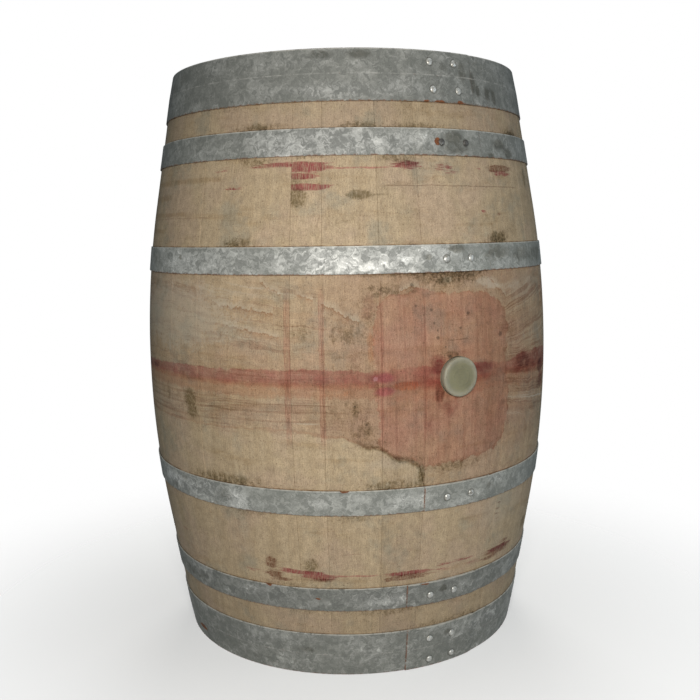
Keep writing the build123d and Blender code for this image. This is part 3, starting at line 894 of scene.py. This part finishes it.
class Value:
    """A node's output.  Arithmetic on it adds math nodes."""

    def __init__(self, tree, socket):
        self.tree = tree
        self.socket = socket

    def __add__(self, other):
        return operate("ADD", self, other)

    def __sub__(self, other):
        return operate("SUBTRACT", self, other)

    def __rsub__(self, other):
        return operate("SUBTRACT", other, self)

    def __mul__(self, other):
        return operate("MULTIPLY", self, other)

    def __abs__(self):
        return operate("ABSOLUTE", self)

    __radd__ = __add__
    __rmul__ = __mul__

    def larger(self, other):
        return operate("MAXIMUM", self, other)

    def step(self, low, high, to_low=0.0, to_high=1.0):
        """A smooth step from to_low to to_high as the value goes from low to high."""
        inputs = dict(enumerate((self, low, high, to_low, to_high)))
        return add_node(self.tree, "MapRange", inputs, interpolation_type="SMOOTHSTEP")


class Paint:
    """A material whose colour is built up by stains and covers, until finish adds the surface."""

    def __init__(self, name):
        self.material = bpy.data.materials.new(name)
        self.material.use_nodes = True
        self.tree = self.material.node_tree
        self.tree.nodes.clear()

    def node(self, kind, inputs=None, output=0, **settings):
        return add_node(self.tree, kind, inputs, output, **settings)

    def attribute(self, name, output="Fac"):
        return self.node("Attribute", None, output, attribute_name=name)

    def object_place(self):
        return self.node("TexCoord", None, "Object")

    def parts(self, vector):
        return [self.node("SeparateXYZ", {0: vector}, index) for index in range(3)]

    def joined(self, *parts):
        return self.node("CombineXYZ", dict(enumerate(parts)))

    def moved(self, vector, shift):
        return self.node("VectorMath", {0: vector, 1: shift}, operation="ADD")

    def stretched(self, at, scale, shift):
        """A place moved by a shift and then multiplied by a scale for each axis."""
        at = self.moved(at, shift) if shift else at
        return self.node("VectorMath", {0: at, 1: (*scale, 1)[:3]}, operation="MULTIPLY")

    def noise(self, at, scale, detail=2.0, rough=0.5, shift=None, twist=0.0):
        inputs = {"Vector": self.stretched(at, scale, shift), "Scale": 1.0, "Detail": detail}
        return self.node("TexNoise", {**inputs, "Roughness": rough, "Distortion": twist}, "Fac")

    def cells(self, at, scale, shift=None):
        """One random number for each cell."""
        inputs = {"Vector": self.stretched(at, scale, shift), "Scale": 1.0, "Randomness": 1.0}
        return self.node("SeparateColor", {0: self.node("TexVoronoi", inputs, "Color")})

    def mix(self, factor, first, second, blend="MIX"):
        inputs = {0: factor, 6: first, 7: second}
        return self.node("Mix", inputs, 2, data_type="RGBA", blend_type=blend)

    def stain(self, mask, tint):
        """Multiplies the colour by a tint where the mask is one."""
        self.colour = self.mix(mask, self.colour, tint, "MULTIPLY")

    def cover(self, mask, colour):
        """Lays another colour over the colour where the mask is one."""
        self.colour = self.mix(mask, self.colour, colour)

    def shade(self, amount):
        """Multiplies the colour by a number."""
        self.colour = self.node("VectorMath", {0: self.colour, "Scale": amount}, operation="SCALE")

    def mark(self, name, noise, width, spread):
        """Where the marks of a name are, with uneven edges."""
        return (self.attribute(name) + spread * (noise - 0.5)).step(0.5 - width, 0.5 + width)

    def finish(self, relief=None, strength=0.0, depth=0.0, **settings):
        """Adds the surface.  Settings have the names of its sockets, with _ for a space."""
        inputs = {name.replace("_", " "): value for name, value in settings.items()}
        inputs["Base Color"] = self.colour
        if relief:
            bump = {"Height": relief, "Strength": strength, "Distance": depth}
            inputs["Normal"] = self.node("Bump", bump)
        self.node("OutputMaterial", {0: self.node("BsdfPrincipled", inputs)})
        return self.material


OAK_LIGHT = (0.450, 0.347, 0.226)
OAK_MID = (0.404, 0.306, 0.193)
OAK_PINK = (0.432, 0.320, 0.225)
OAK_GREY = (0.320, 0.276, 0.200)
LINE_KINDS = {
    "pink": ((0.80, 0.42, 0.50), 0.8),
    "crack": ((0.42, 0.34, 0.28), 0.7),
    "faint": ((0.60, 0.50, 0.44), 0.5),
    "smear": ((0.78, 0.72, 0.62), 0.8),
}


class OakFace(Paint):
    """The outer face of the staves, and what wine, water and mould left on it."""

    def __init__(self):
        super().__init__("oak_outside")
        self.grain = self.attribute("grain_at", "Vector")
        self.place = self.attribute("place_at", "Vector")
        self.across, self.height, _ = self.parts(self.place)
        self.hatch = self.noise(self.grain, (950, 75), 3, 0.6)
        self.uneven = self.noise(self.place, (55, 55), 5, 0.6, (7, 3, 1))
        self.grit = self.noise(self.place, (240, 240), 4, 0.7, (4, 6, 8))
        self.fade = self.noise(self.place, (160, 22), 4, 0.6)
        self.sway = self.noise(self.place, (30, 60), 4, 0.6, (6, 6, 6)) - 0.5
        self.depth = self.attribute("wine") + 24 * (self.uneven - 0.5) + 10 * (self.grit - 0.5)
        self.in_stain = self.depth.step(-1.6, 1.6)

    def bare_wood(self):
        """Weathered planed oak with the grain along z; returns its relief."""
        fine = self.noise(self.grain, (420, 24), 4, 0.6, (0, 0, 3))
        pores = self.noise(self.grain, (1300, 110), 1, shift=(0, 0, 31))
        streak = self.noise(self.grain, (60, 3.0), 4, 0.6, (0, 0, 7))
        grit = self.noise(self.place, (620, 560), 4, 0.75, (3, 1, 5))
        patch = self.noise(self.place, (75, 75), 6, 0.72, (9, 4, 2))
        cloud = self.noise(self.place, (12, 12), 6, 0.66)
        blush = self.noise(self.place, (9, 9), 4, 0.6, (6, 2, 9))
        smear = self.noise(self.place, (7, 40), 6, 0.68, (2, 7, 4))
        flecks = self.noise(self.place, (190, 130), 4, 0.7, (8, 8, 4))
        self.colour = self.mix(streak.step(0.34, 0.66), OAK_MID, OAK_LIGHT)
        self.cover(0.7 * blush.step(0.45, 0.62), OAK_PINK)
        self.cover(0.75 * cloud.step(0.50, 0.66), OAK_GREY)
        self.stain(0.60 * smear.step(0.54, 0.68), (0.78, 0.72, 0.62))
        self.shade(patch.step(0.32, 0.68, 0.87, 1.10))
        self.shade(grit.step(0.28, 0.72, 0.76, 1.20))
        self.shade(self.hatch.step(0.30, 0.70, 0.90, 1.09))
        self.shade(fine.step(0.30, 0.70, 0.96, 1.04))
        self.stain(0.45 * pores.step(0.60, 0.72), (0.62, 0.56, 0.46))
        self.stain(0.55 * flecks.step(0.60, 0.72), (0.58, 0.54, 0.45))
        # The random tone of each stave, darkened towards its ends by painted shade.
        self.shade(1 + 0.04 * self.attribute("tone"))
        self.cover(0.4 * self.mark("pale", self.uneven, 0.35, 0.5), (0.40, 0.355, 0.285))
        return 0.5 * self.hatch + 0.40 * pores.step(0.72, 0.6) + 0.35 * grit

    def soak(self):
        """Wood that wine and water have darkened, with a sharp, mouldy lower edge."""
        depth = self.attribute("soak") + 12 * (self.uneven - 0.5)
        lower = self.height.step(0.590, 0.450, 0.80, 1.0) * self.height.step(0.330, 0.375, 0.5, 1.0)
        inside = depth.step(-1.5, 2.0) * self.attribute("soak_strength") * lower * (1 - self.in_stain)
        self.stain(inside, (0.80, 0.69, 0.67))
        smudges = self.noise(self.place, (42, 20), 5, 0.66, (3, 8, 2)) + 0.5 * (self.grit - 0.5)
        self.stain(inside * smudges.step(0.50, 0.72), (0.72, 0.66, 0.62))
        self.stain(0.45 * depth.step(-2.0, 0.0) * depth.step(5.0, 1.0), (0.80, 0.64, 0.56))
        corner = self.across.step(-0.175, -0.130) * self.across.step(-0.035, -0.055)
        wide = depth.step(-5.0, -1.0) * depth.step(8.0, 2.0)
        self.stain(0.9 * wide * corner * self.grit.step(0.34, 0.56, 0.4, 1.0), (0.46, 0.43, 0.33))

    def tide_lines(self):
        """Fine parallel lines that drying water left across the staves."""
        strength = self.attribute("tide_strength")
        wobble = self.noise(self.place, (16, 16), 5, 0.6)
        at = self.joined(1.3 * self.across, 62 * (self.attribute("tide") + 0.016 * wobble))
        lines = self.noise(at, (1, 1), 4, 0.72)
        seen = self.noise(self.place, (12, 40), 3, shift=(4, 4, 4)).step(0.35, 0.60)
        self.stain(0.85 * abs(lines - 0.5).step(0.050, 0.008) * strength * seen, (0.74, 0.64, 0.60))
        self.stain(0.75 * strength * lines.step(0.50, 0.60), (0.94, 0.88, 0.84))
        self.cover(0.60 * strength * lines.step(0.42, 0.30), (0.48, 0.405, 0.315))

    def scalloped_edges(self):
        """Where water dried: a pale fringe above a scalloped edge and a brown line under it."""
        scallops = self.noise(self.place, (260, 150), 4, 0.6, (2, 5, 2))
        bays = self.noise(self.place, (60, 40), 3, shift=(7, 5, 2))
        above = self.attribute("scallop") + 12 * (scallops - 0.5) + 22 * (bays - 0.5)
        fringe = above.step(-0.5, 0.8) * above.step(12.0, 0.0) * scallops.step(0.35, 0.6, 0.5, 1.0)
        self.cover(0.50 * fringe, (0.47, 0.39, 0.29))
        under = above.step(0.4, -0.6)
        self.stain(0.6 * under * above.step(-3.4, -1.0), (0.78, 0.64, 0.54))
        self.stain(0.55 * under * above.step(-14.0, -1.0), (0.88, 0.79, 0.73))

    def big_stain(self):
        """The big stain round the bung, with its darker tide mark."""
        blotch = self.noise(self.place, (24, 18), 5, 0.65, (2, 2, 9))
        lines = self.noise(self.place, (150, 4.0), 5, 0.7)
        grey = self.noise(self.place, (34, 22), 5, 0.66, (7, 7, 1))
        broken = self.noise(self.place, (60, 60), 3, shift=(5, 5, 3))
        self.stain(self.in_stain * blotch.step(0.3, 0.7, 0.74, 1.0), (0.84, 0.580, 0.565))
        self.stain(self.in_stain * self.across.step(-0.02, 0.07), (0.88, 0.85, 0.82))
        self.stain(self.in_stain * lines.step(0.46, 0.66), (0.86, 0.805, 0.80))
        self.stain(0.6 * self.in_stain * grey.step(0.52, 0.68), (0.80, 0.86, 0.86))
        rim = self.depth.step(-3.0, -0.4) * self.depth.step(3.4, 0.4)
        self.stain(0.7 * rim * broken.step(0.42, 0.60), (0.72, 0.54, 0.46))

    def wine_band(self):
        """The band of wine that ran round the barrel at mid-height."""
        smear = self.noise(self.place, (40, 60), 6, 0.72, (1, 8, 4))
        drips = self.noise(self.place, (120, 14), 4, 0.65, (4, 1, 6))
        depth = self.attribute("band") + 17 * (smear - 0.5) + 5 * (self.hatch - 0.5)
        below = self.height.step(MIDDLE + 4 * MM, MIDDLE - 6 * MM)
        core = depth.step(-1.4 - 5.0 * below, 1.6 + 6.0 * below)
        reach = -12 - 20 * drips
        spread = depth.step(reach, reach + 7, 0.0, 0.6) + depth.step(-8.0, -1.0, 0.0, 0.4)
        weaker = 1 - 0.50 * self.in_stain * abs(self.across).step(0.050, 0.080)
        self.stain(spread * (0.08 + 0.85 * below) * weaker, (0.90, 0.66, 0.59))
        self.stain(core * smear.step(0.30, 0.66, 0.66, 1.0) * weaker, (0.78, 0.49, 0.53))
        centre = depth.step(3, 10) * self.uneven.step(0.42, 0.60)
        self.stain(0.6 * centre * weaker, (0.84, 0.66, 0.68))
        right = self.across.step(0.105, 0.140) * self.across.step(0.60, 0.40)
        self.stain(core * right * smear.step(0.40, 0.60), (0.80, 0.68, 0.60))

    def wine_marks(self):
        """Runs of wine, bruises, algae and dried patches, each where its marks are."""
        smear = self.noise(self.place, (45, 330), 5, 0.7, (8, 2, 6))
        ragged = 0.5 * self.uneven + 0.5 * self.grit
        threads = self.hatch.step(0.38, 0.58, 0.40, 1.0)
        blots = self.grit.step(0.30, 0.58, 0.35, 1.0) * self.hatch.step(0.36, 0.58, 0.50, 1.0)
        dotted = self.grit.step(0.3, 0.6, 0.6, 1.0)
        self.cover(0.40 * self.mark("chalk", ragged, 0.16, 1.8), (0.50, 0.44, 0.35))
        self.stain(self.mark("bruise", self.uneven, 0.35, 1.2) * dotted, (0.66, 0.47, 0.47))
        self.stain(self.mark("olive", ragged, 0.30, 1.7) * blots, (0.36, 0.33, 0.22))
        self.stain(self.mark("crimson", smear, 0.16, 1.5) * threads, (0.56, 0.165, 0.235))
        self.stain(self.mark("maroon", smear, 0.20, 1.4) * blots, (0.36, 0.19, 0.15))
        self.stain(0.9 * self.mark("magenta", self.uneven, 0.3, 0.7), (0.86, 0.46, 0.66))
        self.stain(0.9 * self.mark("orange", self.uneven, 0.25, 0.8) * threads, (0.96, 0.62, 0.42))

    def red_joints(self):
        """Red lines along some of the joints."""
        tall = self.height.step(0.372, 0.400) * self.height.step(0.620, 0.580)
        for angle, strength in RED_JOINTS:
            off = abs(self.across - arc(angle) + 0.0030 * self.sway)
            self.stain(0.75 * strength * tall * off.step(0.0026, 0.0008), (0.92, 0.68, 0.68))
            rim = off.step(0.0006, 0.0014) * off.step(0.0030, 0.0018) * tall
            self.stain(strength * rim * self.fade.step(0.42, 0.60), (0.70, 0.50, 0.48))

    def hairlines(self):
        """Lines across the staves."""
        seen = self.fade.step(0.30, 0.55, 0.4, 1.0)
        for height, first, last, half, kind in HAIRLINES:
            tint, strength = LINE_KINDS[kind]
            off = abs(self.height + (0.004 + half * MM) * self.sway - height * MM)
            start, end = arc(first), arc(last)
            taper = min(0.02, (end - start) / 4)
            inside = self.across.step(start, start + taper) * self.across.step(end, end - taper)
            line = off.step(half * 2 * MM, half * 0.5 * MM)
            self.stain(strength * line * inside * seen, tint)

    def specks(self):
        """Small dark spots."""
        for angle, height, radius in SPECKS:
            ends = {0: self.place, 1: (arc(angle), height * MM, 0)}
            off = self.node("VectorMath", ends, "Value", operation="DISTANCE")
            off = off + 0.004 * (self.fade - 0.5)
            self.stain(0.8 * off.step(radius * MM, radius * 0.3 * MM), (0.35, 0.36, 0.36))

    def mould(self):
        """Mould creeping out of the hoops' edges, dark dots, dirt and painted shadow at edges, dirt at
        joints.
        """
        edge = self.attribute("edge")
        spikes = self.noise(self.place, (150, 40), 4, 0.65, (5, 5, 7))
        smudge = self.noise(self.place, (130, 100), 5, 0.68, (3, 3, 9))
        specks = self.noise(self.place, (420, 300), 2, shift=(6, 9, 2))
        seen = self.noise(self.grain, (25, 7), 3)
        mould = self.attribute("mould") * spikes.step(0.34, 0.62, 0.55, 1.0)
        film = (mould + 1.9 * (smudge - 0.5)).step(0.30, 1.0)
        self.stain(0.80 * film, (0.52, 0.48, 0.38))
        dots = (self.grit + 0.24 * mould + edge.step(14, 0, 0.0, 0.12)).step(0.62, 0.96)
        self.stain(0.85 * dots, (0.36, 0.33, 0.25))
        self.stain(0.70 * specks.step(0.61, 0.70), (0.50, 0.43, 0.36))
        # A dark brown line on the wood at the hoops' edges: rust and dirt, and painted shadow of the
        # edges.
        self.stain(edge.step(2.0, 0.4) * self.uneven.step(0.35, 0.60, 0.25, 1.0), (0.36, 0.24, 0.14))
        joint = self.attribute("joint").step(1.0, 0.2) * seen.step(0.46, 0.72, 0.0, 0.30)
        self.stain(joint, (0.46, 0.38, 0.31))


def oak_outside():
    p = OakFace()
    relief = p.bare_wood()
    p.soak()
    p.tide_lines()
    p.scalloped_edges()
    p.big_stain()
    p.wine_band()
    p.wine_marks()
    p.red_joints()
    p.hairlines()
    p.specks()
    p.mould()
    rough = relief.step(0.3, 0.9, 0.80, 0.66)
    return p.finish(relief, 0.35, 0.0007, Roughness=rough, Specular_IOR_Level=0.28)


def oak_inside():
    """The toasted, wine-soaked inside of the staves, and the bare wood outside the heads."""
    p = Paint("oak_inside")
    grain = p.attribute("grain_at", "Vector")
    place_at = p.attribute("place_at", "Vector")
    _, z, _ = p.parts(place_at)
    fine = p.noise(grain, (500, 14), 4, 0.6)
    blister = p.noise(place_at, (60, 40), 5, 0.6)
    grime = p.noise(place_at, (40, 60), 5, 0.65, (3, 3, 3))
    p.colour = p.mix(fine.step(0.3, 0.7), (0.31, 0.225, 0.14), (0.43, 0.325, 0.21))
    p.stain(0.7 * grime.step(0.45, 0.65), (0.45, 0.38, 0.30))
    chime = p.colour
    p.colour = p.mix(blister.step(0.3, 0.7), (0.050, 0.020, 0.016), (0.135, 0.055, 0.040))
    p.shade(fine.step(0.3, 0.7, 0.7, 1.2))
    p.cover(z.step(0.048, 0.040).larger(z.step(HEIGHT - 0.048, HEIGHT - 0.040)), chime)
    return p.finish(fine + 0.8 * blister, 0.5, 0.001, Roughness=blister.step(0.3, 0.7, 0.75, 0.5))


def oak_end():
    """Sawn end grain of the chimes, and the cut sides of the joints and the bung hole."""
    p = Paint("oak_end")
    at = p.object_place()
    length, _, seed = p.parts(p.attribute("grain_at", "Vector"))
    x, y, _ = p.parts(at)
    flat = p.joined(length, hypotenuse(x, y), seed)
    rings = operate("SINE", 2200 * (length + 0.010 * p.noise(flat, (60, 60))))
    rays = p.noise(flat, (260, 1500))
    pores = p.node("TexVoronoi", {"Vector": at, "Scale": 1400.0, "Randomness": 1.0}, "Distance")
    dirt = p.noise(flat, (70, 90), 5, 0.6)
    p.colour = p.mix(rings.step(-0.6, 0.8), (0.29, 0.205, 0.125), (0.40, 0.30, 0.19))
    p.shade(rays.step(0.35, 0.65, 0.88, 1.10))
    p.shade(pores.step(0.10, 0.45, 0.62, 1.0))
    p.stain(dirt.step(0.42, 0.64), (0.52, 0.45, 0.38))
    return p.finish(pores.step(0.1, 0.45) + 0.15 * rings, 0.4, 0.0006, Roughness=0.82)


def head_oak():
    """Boards of the heads, with the grain along Y, and dust and wine marks on them."""
    p = Paint("head_oak")
    at = p.object_place()
    board = p.node("ObjectInfo", None, "Random")
    x, y, z = p.parts(at)
    grain = p.joined(x, y, z + 40 * board)
    fine = p.noise(grain, (800, 15), 4, 0.65)
    streak = p.noise(grain, (75, 2.4), 4, 0.6, twist=0.4)
    pores = p.noise(grain, (1400, 50), 1)
    cloud = p.noise(at, (11, 11), 5, 0.6)
    spill = p.noise(at, (9, 5), 4, 0.6, (4, 4, 0))
    p.colour = p.mix(streak.step(0.32, 0.68), (0.40, 0.295, 0.185), (0.52, 0.40, 0.265))
    p.cover(0.5 * cloud.step(0.45, 0.62), (0.36, 0.30, 0.22))
    p.shade(fine.step(0.3, 0.7, 0.80, 1.12))
    p.stain(0.5 * pores.step(0.60, 0.72), (0.5, 0.45, 0.4))
    p.shade(board.step(0.0, 1.0, 0.86, 1.16))
    # Darker towards the rim of the head, next to the staves.
    ring = hypotenuse(x, y) + 0.05 * (cloud - 0.5)
    p.stain(0.6 * ring.step(0.225, 0.262), (0.50, 0.43, 0.36))
    p.stain(0.7 * spill.step(0.55, 0.68), (0.88, 0.74, 0.72))
    p.stain(0.3 * abs(spill - 0.56).step(0.012, 0.003), (0.70, 0.56, 0.52))
    face = MIDDLE - HEAD_OFFSET
    p.cover(abs(z - MIDDLE).step(face + MM, face), (0.075, 0.032, 0.026))
    relief = 0.5 * fine + 0.5 * pores.step(0.72, 0.6)
    rough = fine.step(0.3, 0.7, 0.80, 0.66)
    return p.finish(relief, 0.35, 0.0007, Roughness=rough, Specular_IOR_Level=0.3)


def dowel_wood():
    """Pale turned pegs with fine lengthwise grain along X."""
    p = Paint("dowel_wood")
    fine = p.noise(p.object_place(), (40, 1400, 1400), 4, 0.6)
    p.colour = p.mix(fine.step(0.3, 0.7), (0.42, 0.31, 0.19), (0.58, 0.46, 0.31))
    return p.finish(fine, 0.3, 0.0003, Roughness=0.7)


def steel_rust(p, rusting):
    """How rusty the strip is: at its lower edge, on its crease, at its end and in spots."""
    line = p.attribute("edge").step(2.4, 0.2) * p.attribute("upper").step(6.0, 9.0)
    line = 0.75 * line * rusting.step(0.46, 0.58)
    on_ridge = 0.6 * p.attribute("crease").step(2.0, 0.6) * rusting.step(0.60, 0.68)
    seam = p.attribute("tip").step(2.6, 0.4) * p.attribute("rusty") * rusting.step(0.38, 0.56)
    return line.larger(on_ridge).larger(seam.larger(p.mark("rust", rusting, 0.12, 0.8)))


def steel():
    """Weathered galvanised strip: spangle, oxide, smudges, edge rust, painted highlights and shadow."""
    p = Paint("galvanised_strip")
    at = p.attribute("grain_at", "Vector")
    warps = [0.026 * (p.noise(at, (95, 95), 1.5, shift=(s, s, s)) - 0.5) for s in (0, 5)]
    bent = p.moved(at, p.joined(*warps))
    leaf = p.noise(bent, (70, 90), 6, 0.70)
    cloud = p.noise(at, (13, 26), 5, 0.66, (8, 8, 2))
    grain = p.noise(at, (520, 520), 4, 0.75)
    pits = p.noise(at, (260, 260), 4, 0.66, (1, 4, 9))
    zinc = 0.30 * p.cells(bent, (105, 130)) + 0.26 * p.cells(bent, (250, 300), (3, 3, 3))
    zinc = zinc + 0.80 * leaf + 0.8 * (cloud - 0.5)
    level = zinc.step(0.40, 1.08)
    # Lighter zinc where the bright marks are: a painted highlight in front, fresh zinc elsewhere.
    highlight_and_fresh = 0.70 * p.attribute("bright") + cloud.step(0.40, 0.65, 0.0, 0.30)
    dark = p.mix(highlight_and_fresh, (0.180, 0.186, 0.169), (0.185, 0.188, 0.178))
    light = p.mix(highlight_and_fresh, (0.300, 0.302, 0.276), (0.60, 0.60, 0.575))
    p.colour = p.mix(level, dark, light)
    # Painted glints: white specks on the highest spangle, most where the painted highlight is.
    p.cover(zinc.step(0.96, 1.10) * (0.25 + 0.75 * highlight_and_fresh), (0.74, 0.74, 0.71))
    # Painted light and shade: each hoop brighter or darker for how the key light falls on it.
    p.shade(p.attribute("tone"))
    p.shade(grain.step(0.28, 0.72, 0.84, 1.13))
    smudge = p.mark("smudge", 0.6 * leaf + 0.4 * grain, 0.24, 2.4)
    p.stain(0.85 * smudge, (0.42, 0.41, 0.37))
    # Painted shadow: a darker ring on the strip round each rivet head.
    ring = p.attribute("rivet").step(2.6, 0.4) * leaf.step(0.35, 0.55, 0.4, 0.9)
    p.stain(ring, (0.42, 0.41, 0.38))
    p.stain(0.75 * pits.step(0.60, 0.72), (0.42, 0.42, 0.38))
    # A lighter line on the crease: partly worn zinc, partly a painted highlight.
    crease_highlight_and_wear = p.attribute("crease").step(1.4, 0.4) * leaf.step(0.40, 0.62)
    p.cover(0.5 * crease_highlight_and_wear, (0.46, 0.45, 0.42))
    # A painted highlight along the upper edge of each hoop.
    top_edge_highlight = p.attribute("upper").step(2.0, 0.6) * leaf.step(0.36, 0.52)
    p.cover(0.7 * top_edge_highlight, (0.56, 0.55, 0.50))
    rust = steel_rust(p, p.noise(at, (130, 200), 5, 0.7, (2, 9, 4)))
    p.cover(rust, p.mix(grain.step(0.35, 0.65), (0.085, 0.030, 0.012), (0.26, 0.085, 0.025)))
    dull = rust.larger(0.7 * smudge)
    rough = level.step(0.0, 1.0, 0.64, 0.52) + 0.20 * dull
    relief = 0.5 * leaf + 0.3 * grain + 0.6 * rust
    return p.finish(relief, 0.30, 0.0006, Metallic=0.16 * (1 - dull), Roughness=rough)


def rivet_steel():
    p = Paint("rivet_steel")
    at = p.object_place()
    spots = p.noise(at, (500, 500, 500), 4, 0.6)
    wear = p.noise(at, (160, 160, 160), 3, 0.6)
    p.colour = p.mix(spots.step(0.35, 0.65), (0.50, 0.50, 0.47), (0.74, 0.74, 0.71))
    p.stain(0.7 * wear.step(0.50, 0.62), (0.5, 0.45, 0.38))
    black = p.attribute("stain") * wear.step(0.30, 0.45)
    p.cover(0.9 * black, (0.030, 0.027, 0.024))
    metal = black.step(0.0, 1.0, 0.5, 0.1)
    return p.finish(spots, 0.25, 0.0004, Metallic=metal, Roughness=spots.step(0.3, 0.7, 0.34, 0.46))


def silicone():
    p = Paint("silicone")
    at = p.object_place()
    haze = p.noise(at, (60, 60, 60), 4, 0.6)
    dust = p.noise(at, (420, 420, 420), 4, 0.65)
    scuff = p.noise(at, (90, 90, 900), 3)
    x, _, z = p.parts(at)
    off = hypotenuse(x, z - MIDDLE)
    p.colour = p.mix(off.step(0.018, 0.028), (0.206, 0.195, 0.118), (0.290, 0.272, 0.205))
    p.shade(haze.step(0.3, 0.7, 0.88, 1.10))
    p.stain(0.45 * dust.step(0.60, 0.72), (0.60, 0.56, 0.46))
    p.stain(0.6 * scuff.step(0.62, 0.70) * off.step(0.014, 0.006), (0.45, 0.45, 0.36))
    p.stain(0.85 * p.attribute("wet"), (0.55, 0.22, 0.22))
    return p.finish(
        haze + 0.4 * dust, 0.12, 0.0005,
        Roughness=dust.step(0.3, 0.7, 0.42, 0.60),
        Subsurface_Weight=0.25,
        Subsurface_Scale=0.01,
        Subsurface_Radius=(1.0, 0.8, 0.5),
    )


OAK_OUTSIDE = oak_outside()
OAK_INSIDE = oak_inside()
OAK_END = oak_end()
HEAD_OAK = head_oak()
DOWEL_WOOD = dowel_wood()
STEEL = steel()
RIVET_STEEL = rivet_steel()
SILICONE = silicone()


def finish_cad_node(name, material, edge):
    """A CAD node that stays: its own mesh, with softened edges and a better material."""
    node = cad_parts[name]
    node.data.materials.clear()
    node.data.materials.append(material)
    bevel = node.modifiers.new("worn_edges", "BEVEL")
    bevel.width = edge
    bevel.segments = 2
    bevel.limit_method = "ANGLE"
    bevel.angle_limit = math.radians(40)


for stave_number, stave_name in enumerate(STAVES):
    make_stave(stave_number, stave_name)
for hoop_number, hoop_name in enumerate(HOOPS):
    make_hoop(hoop_number, hoop_name)
    make_rivets(hoop_number, hoop_name)
make_bung()
for head in ("top_head", "bottom_head"):
    for board_number in range(1, 7):
        finish_cad_node(f"{head}_board_{board_number}", HEAD_OAK, 0.8 * MM)
    finish_cad_node(f"{head}_dowels", DOWEL_WOOD, 0.4 * MM)


# ---- Camera, light and floor --------------------------------------------------------------------
CAMERA_AZIMUTH = -27.77
CAMERA_DISTANCE = 1.6015        # from the barrel's axis
CAMERA_HEIGHT = 0.6908
CAMERA_YAW = 0.187
CAMERA_PITCH = 7.679            # downwards
CAMERA_ROLL = -0.908
CAMERA_LENS = 45.6
AMBIENT = 0.15
AMBIENT_COLOUR = (0.85, 1.0, 1.08)
FLOOR_RADIUS = 1.1
FLOOR_FADE = 0.30               # from here outwards the floor fades into the background
FLOOR_SEGMENTS = 96


def spot_at(azimuth, distance, height):
    around = math.radians(azimuth)
    return Vector((distance * math.sin(around), -distance * math.cos(around), height))


def make_camera():
    yaw, pitch, roll = (math.radians(a) for a in (CAMERA_YAW, CAMERA_PITCH, CAMERA_ROLL))
    ahead = Vector((math.sin(yaw) * math.cos(pitch), math.cos(yaw) * math.cos(pitch), -math.sin(pitch)))
    right = Vector((math.cos(yaw), -math.sin(yaw), 0.0))
    up = right.cross(ahead)
    level_right = math.cos(roll) * right + math.sin(roll) * up
    level_up = -math.sin(roll) * right + math.cos(roll) * up
    turn = Matrix.Rotation(math.radians(CAMERA_AZIMUTH), 3, "Z")
    axes = Matrix([turn @ level_right, turn @ level_up, turn @ -ahead]).transposed()
    location = spot_at(CAMERA_AZIMUTH, CAMERA_DISTANCE, CAMERA_HEIGHT)
    camera = bpy.data.objects.new("camera", bpy.data.cameras.new("camera"))
    camera.data.lens = CAMERA_LENS
    camera.data.sensor_width = 36.0
    camera.matrix_world = Matrix.Translation(location) @ axes.to_4x4()
    bpy.context.scene.collection.objects.link(camera)
    bpy.context.scene.camera = camera


def make_light(name, azimuth, distance, height, size, power, colour):
    """A round soft light, aimed at the middle of the barrel; azimuth is from the camera's."""
    data = bpy.data.lights.new(name, "AREA")
    data.shape = "DISK"
    data.size = size
    data.energy = power
    data.color = colour
    light = bpy.data.objects.new(name, data)
    light.location = spot_at(CAMERA_AZIMUTH + azimuth, distance, height)
    aim = Vector((0, 0, MIDDLE)) - light.location
    light.rotation_euler = aim.to_track_quat("-Z", "Y").to_euler()
    light.visible_camera = False
    bpy.context.scene.collection.objects.link(light)


def make_world():
    """White where the camera looks past the floor; a softer, cooler light on the object."""
    world = bpy.data.worlds.new("studio")
    bpy.context.scene.world = world
    world.use_nodes = True
    tree = world.node_tree
    tree.nodes.clear()
    seen = add_node(tree, "LightPath", None, "Is Camera Ray")
    ambient = add_node(tree, "Background", {0: AMBIENT_COLOUR, 1: AMBIENT})
    white = add_node(tree, "Background", {0: (1.0, 1.0, 1.0)})
    both = add_node(tree, "MixShader", {0: seen, 1: ambient, 2: white})
    add_node(tree, "OutputWorld", {0: both})


def make_floor():
    """A pale disc that turns into the white of the background with distance."""
    turn = np.linspace(0, 2 * math.pi, FLOOR_SEGMENTS, endpoint=False)
    rings = [0.4, 0.8, FLOOR_RADIUS]
    points = [[0, 0, 0]]
    for radius in rings:
        points += [[radius * math.cos(a), radius * math.sin(a), 0] for a in turn]
    faces = [[0, 1 + k, 1 + (k + 1) % FLOOR_SEGMENTS] for k in range(FLOOR_SEGMENTS)]
    faces += [list(quad + 1) for quad in grid_quads(len(rings), FLOOR_SEGMENTS, closed=True)]
    floor = make_object("floor", points, faces)
    p = Paint("floor")
    at = p.object_place()
    x, y, _ = p.parts(at)
    p.colour = p.mix(p.noise(at, (300, 300, 300)), (0.93, 0.93, 0.92), (0.96, 0.96, 0.95))
    fade = hypotenuse(x, y).step(FLOOR_FADE, FLOOR_RADIUS - 0.1, 0.6, 0.0)
    floor.data.materials.append(p.finish(Roughness=0.9, Specular_IOR_Level=0.1, Alpha=fade))


make_camera()
make_world()
make_floor()
make_light("key", 0, 1.70, 0.86, 0.40, 20.5, (1.0, 0.965, 0.91))
make_light("fill", 72, 2.2, 1.0, 1.2, 5.0, (0.82, 0.95, 1.06))
make_light("top", 150, 0.7, 2.4, 1.4, 9.0, (1.0, 0.99, 0.97))
make_light("rear", 180, 2.3, 1.2, 1.2, 30.0, (1.0, 0.98, 0.95))
bpy.context.scene.view_settings.view_transform = "Standard"
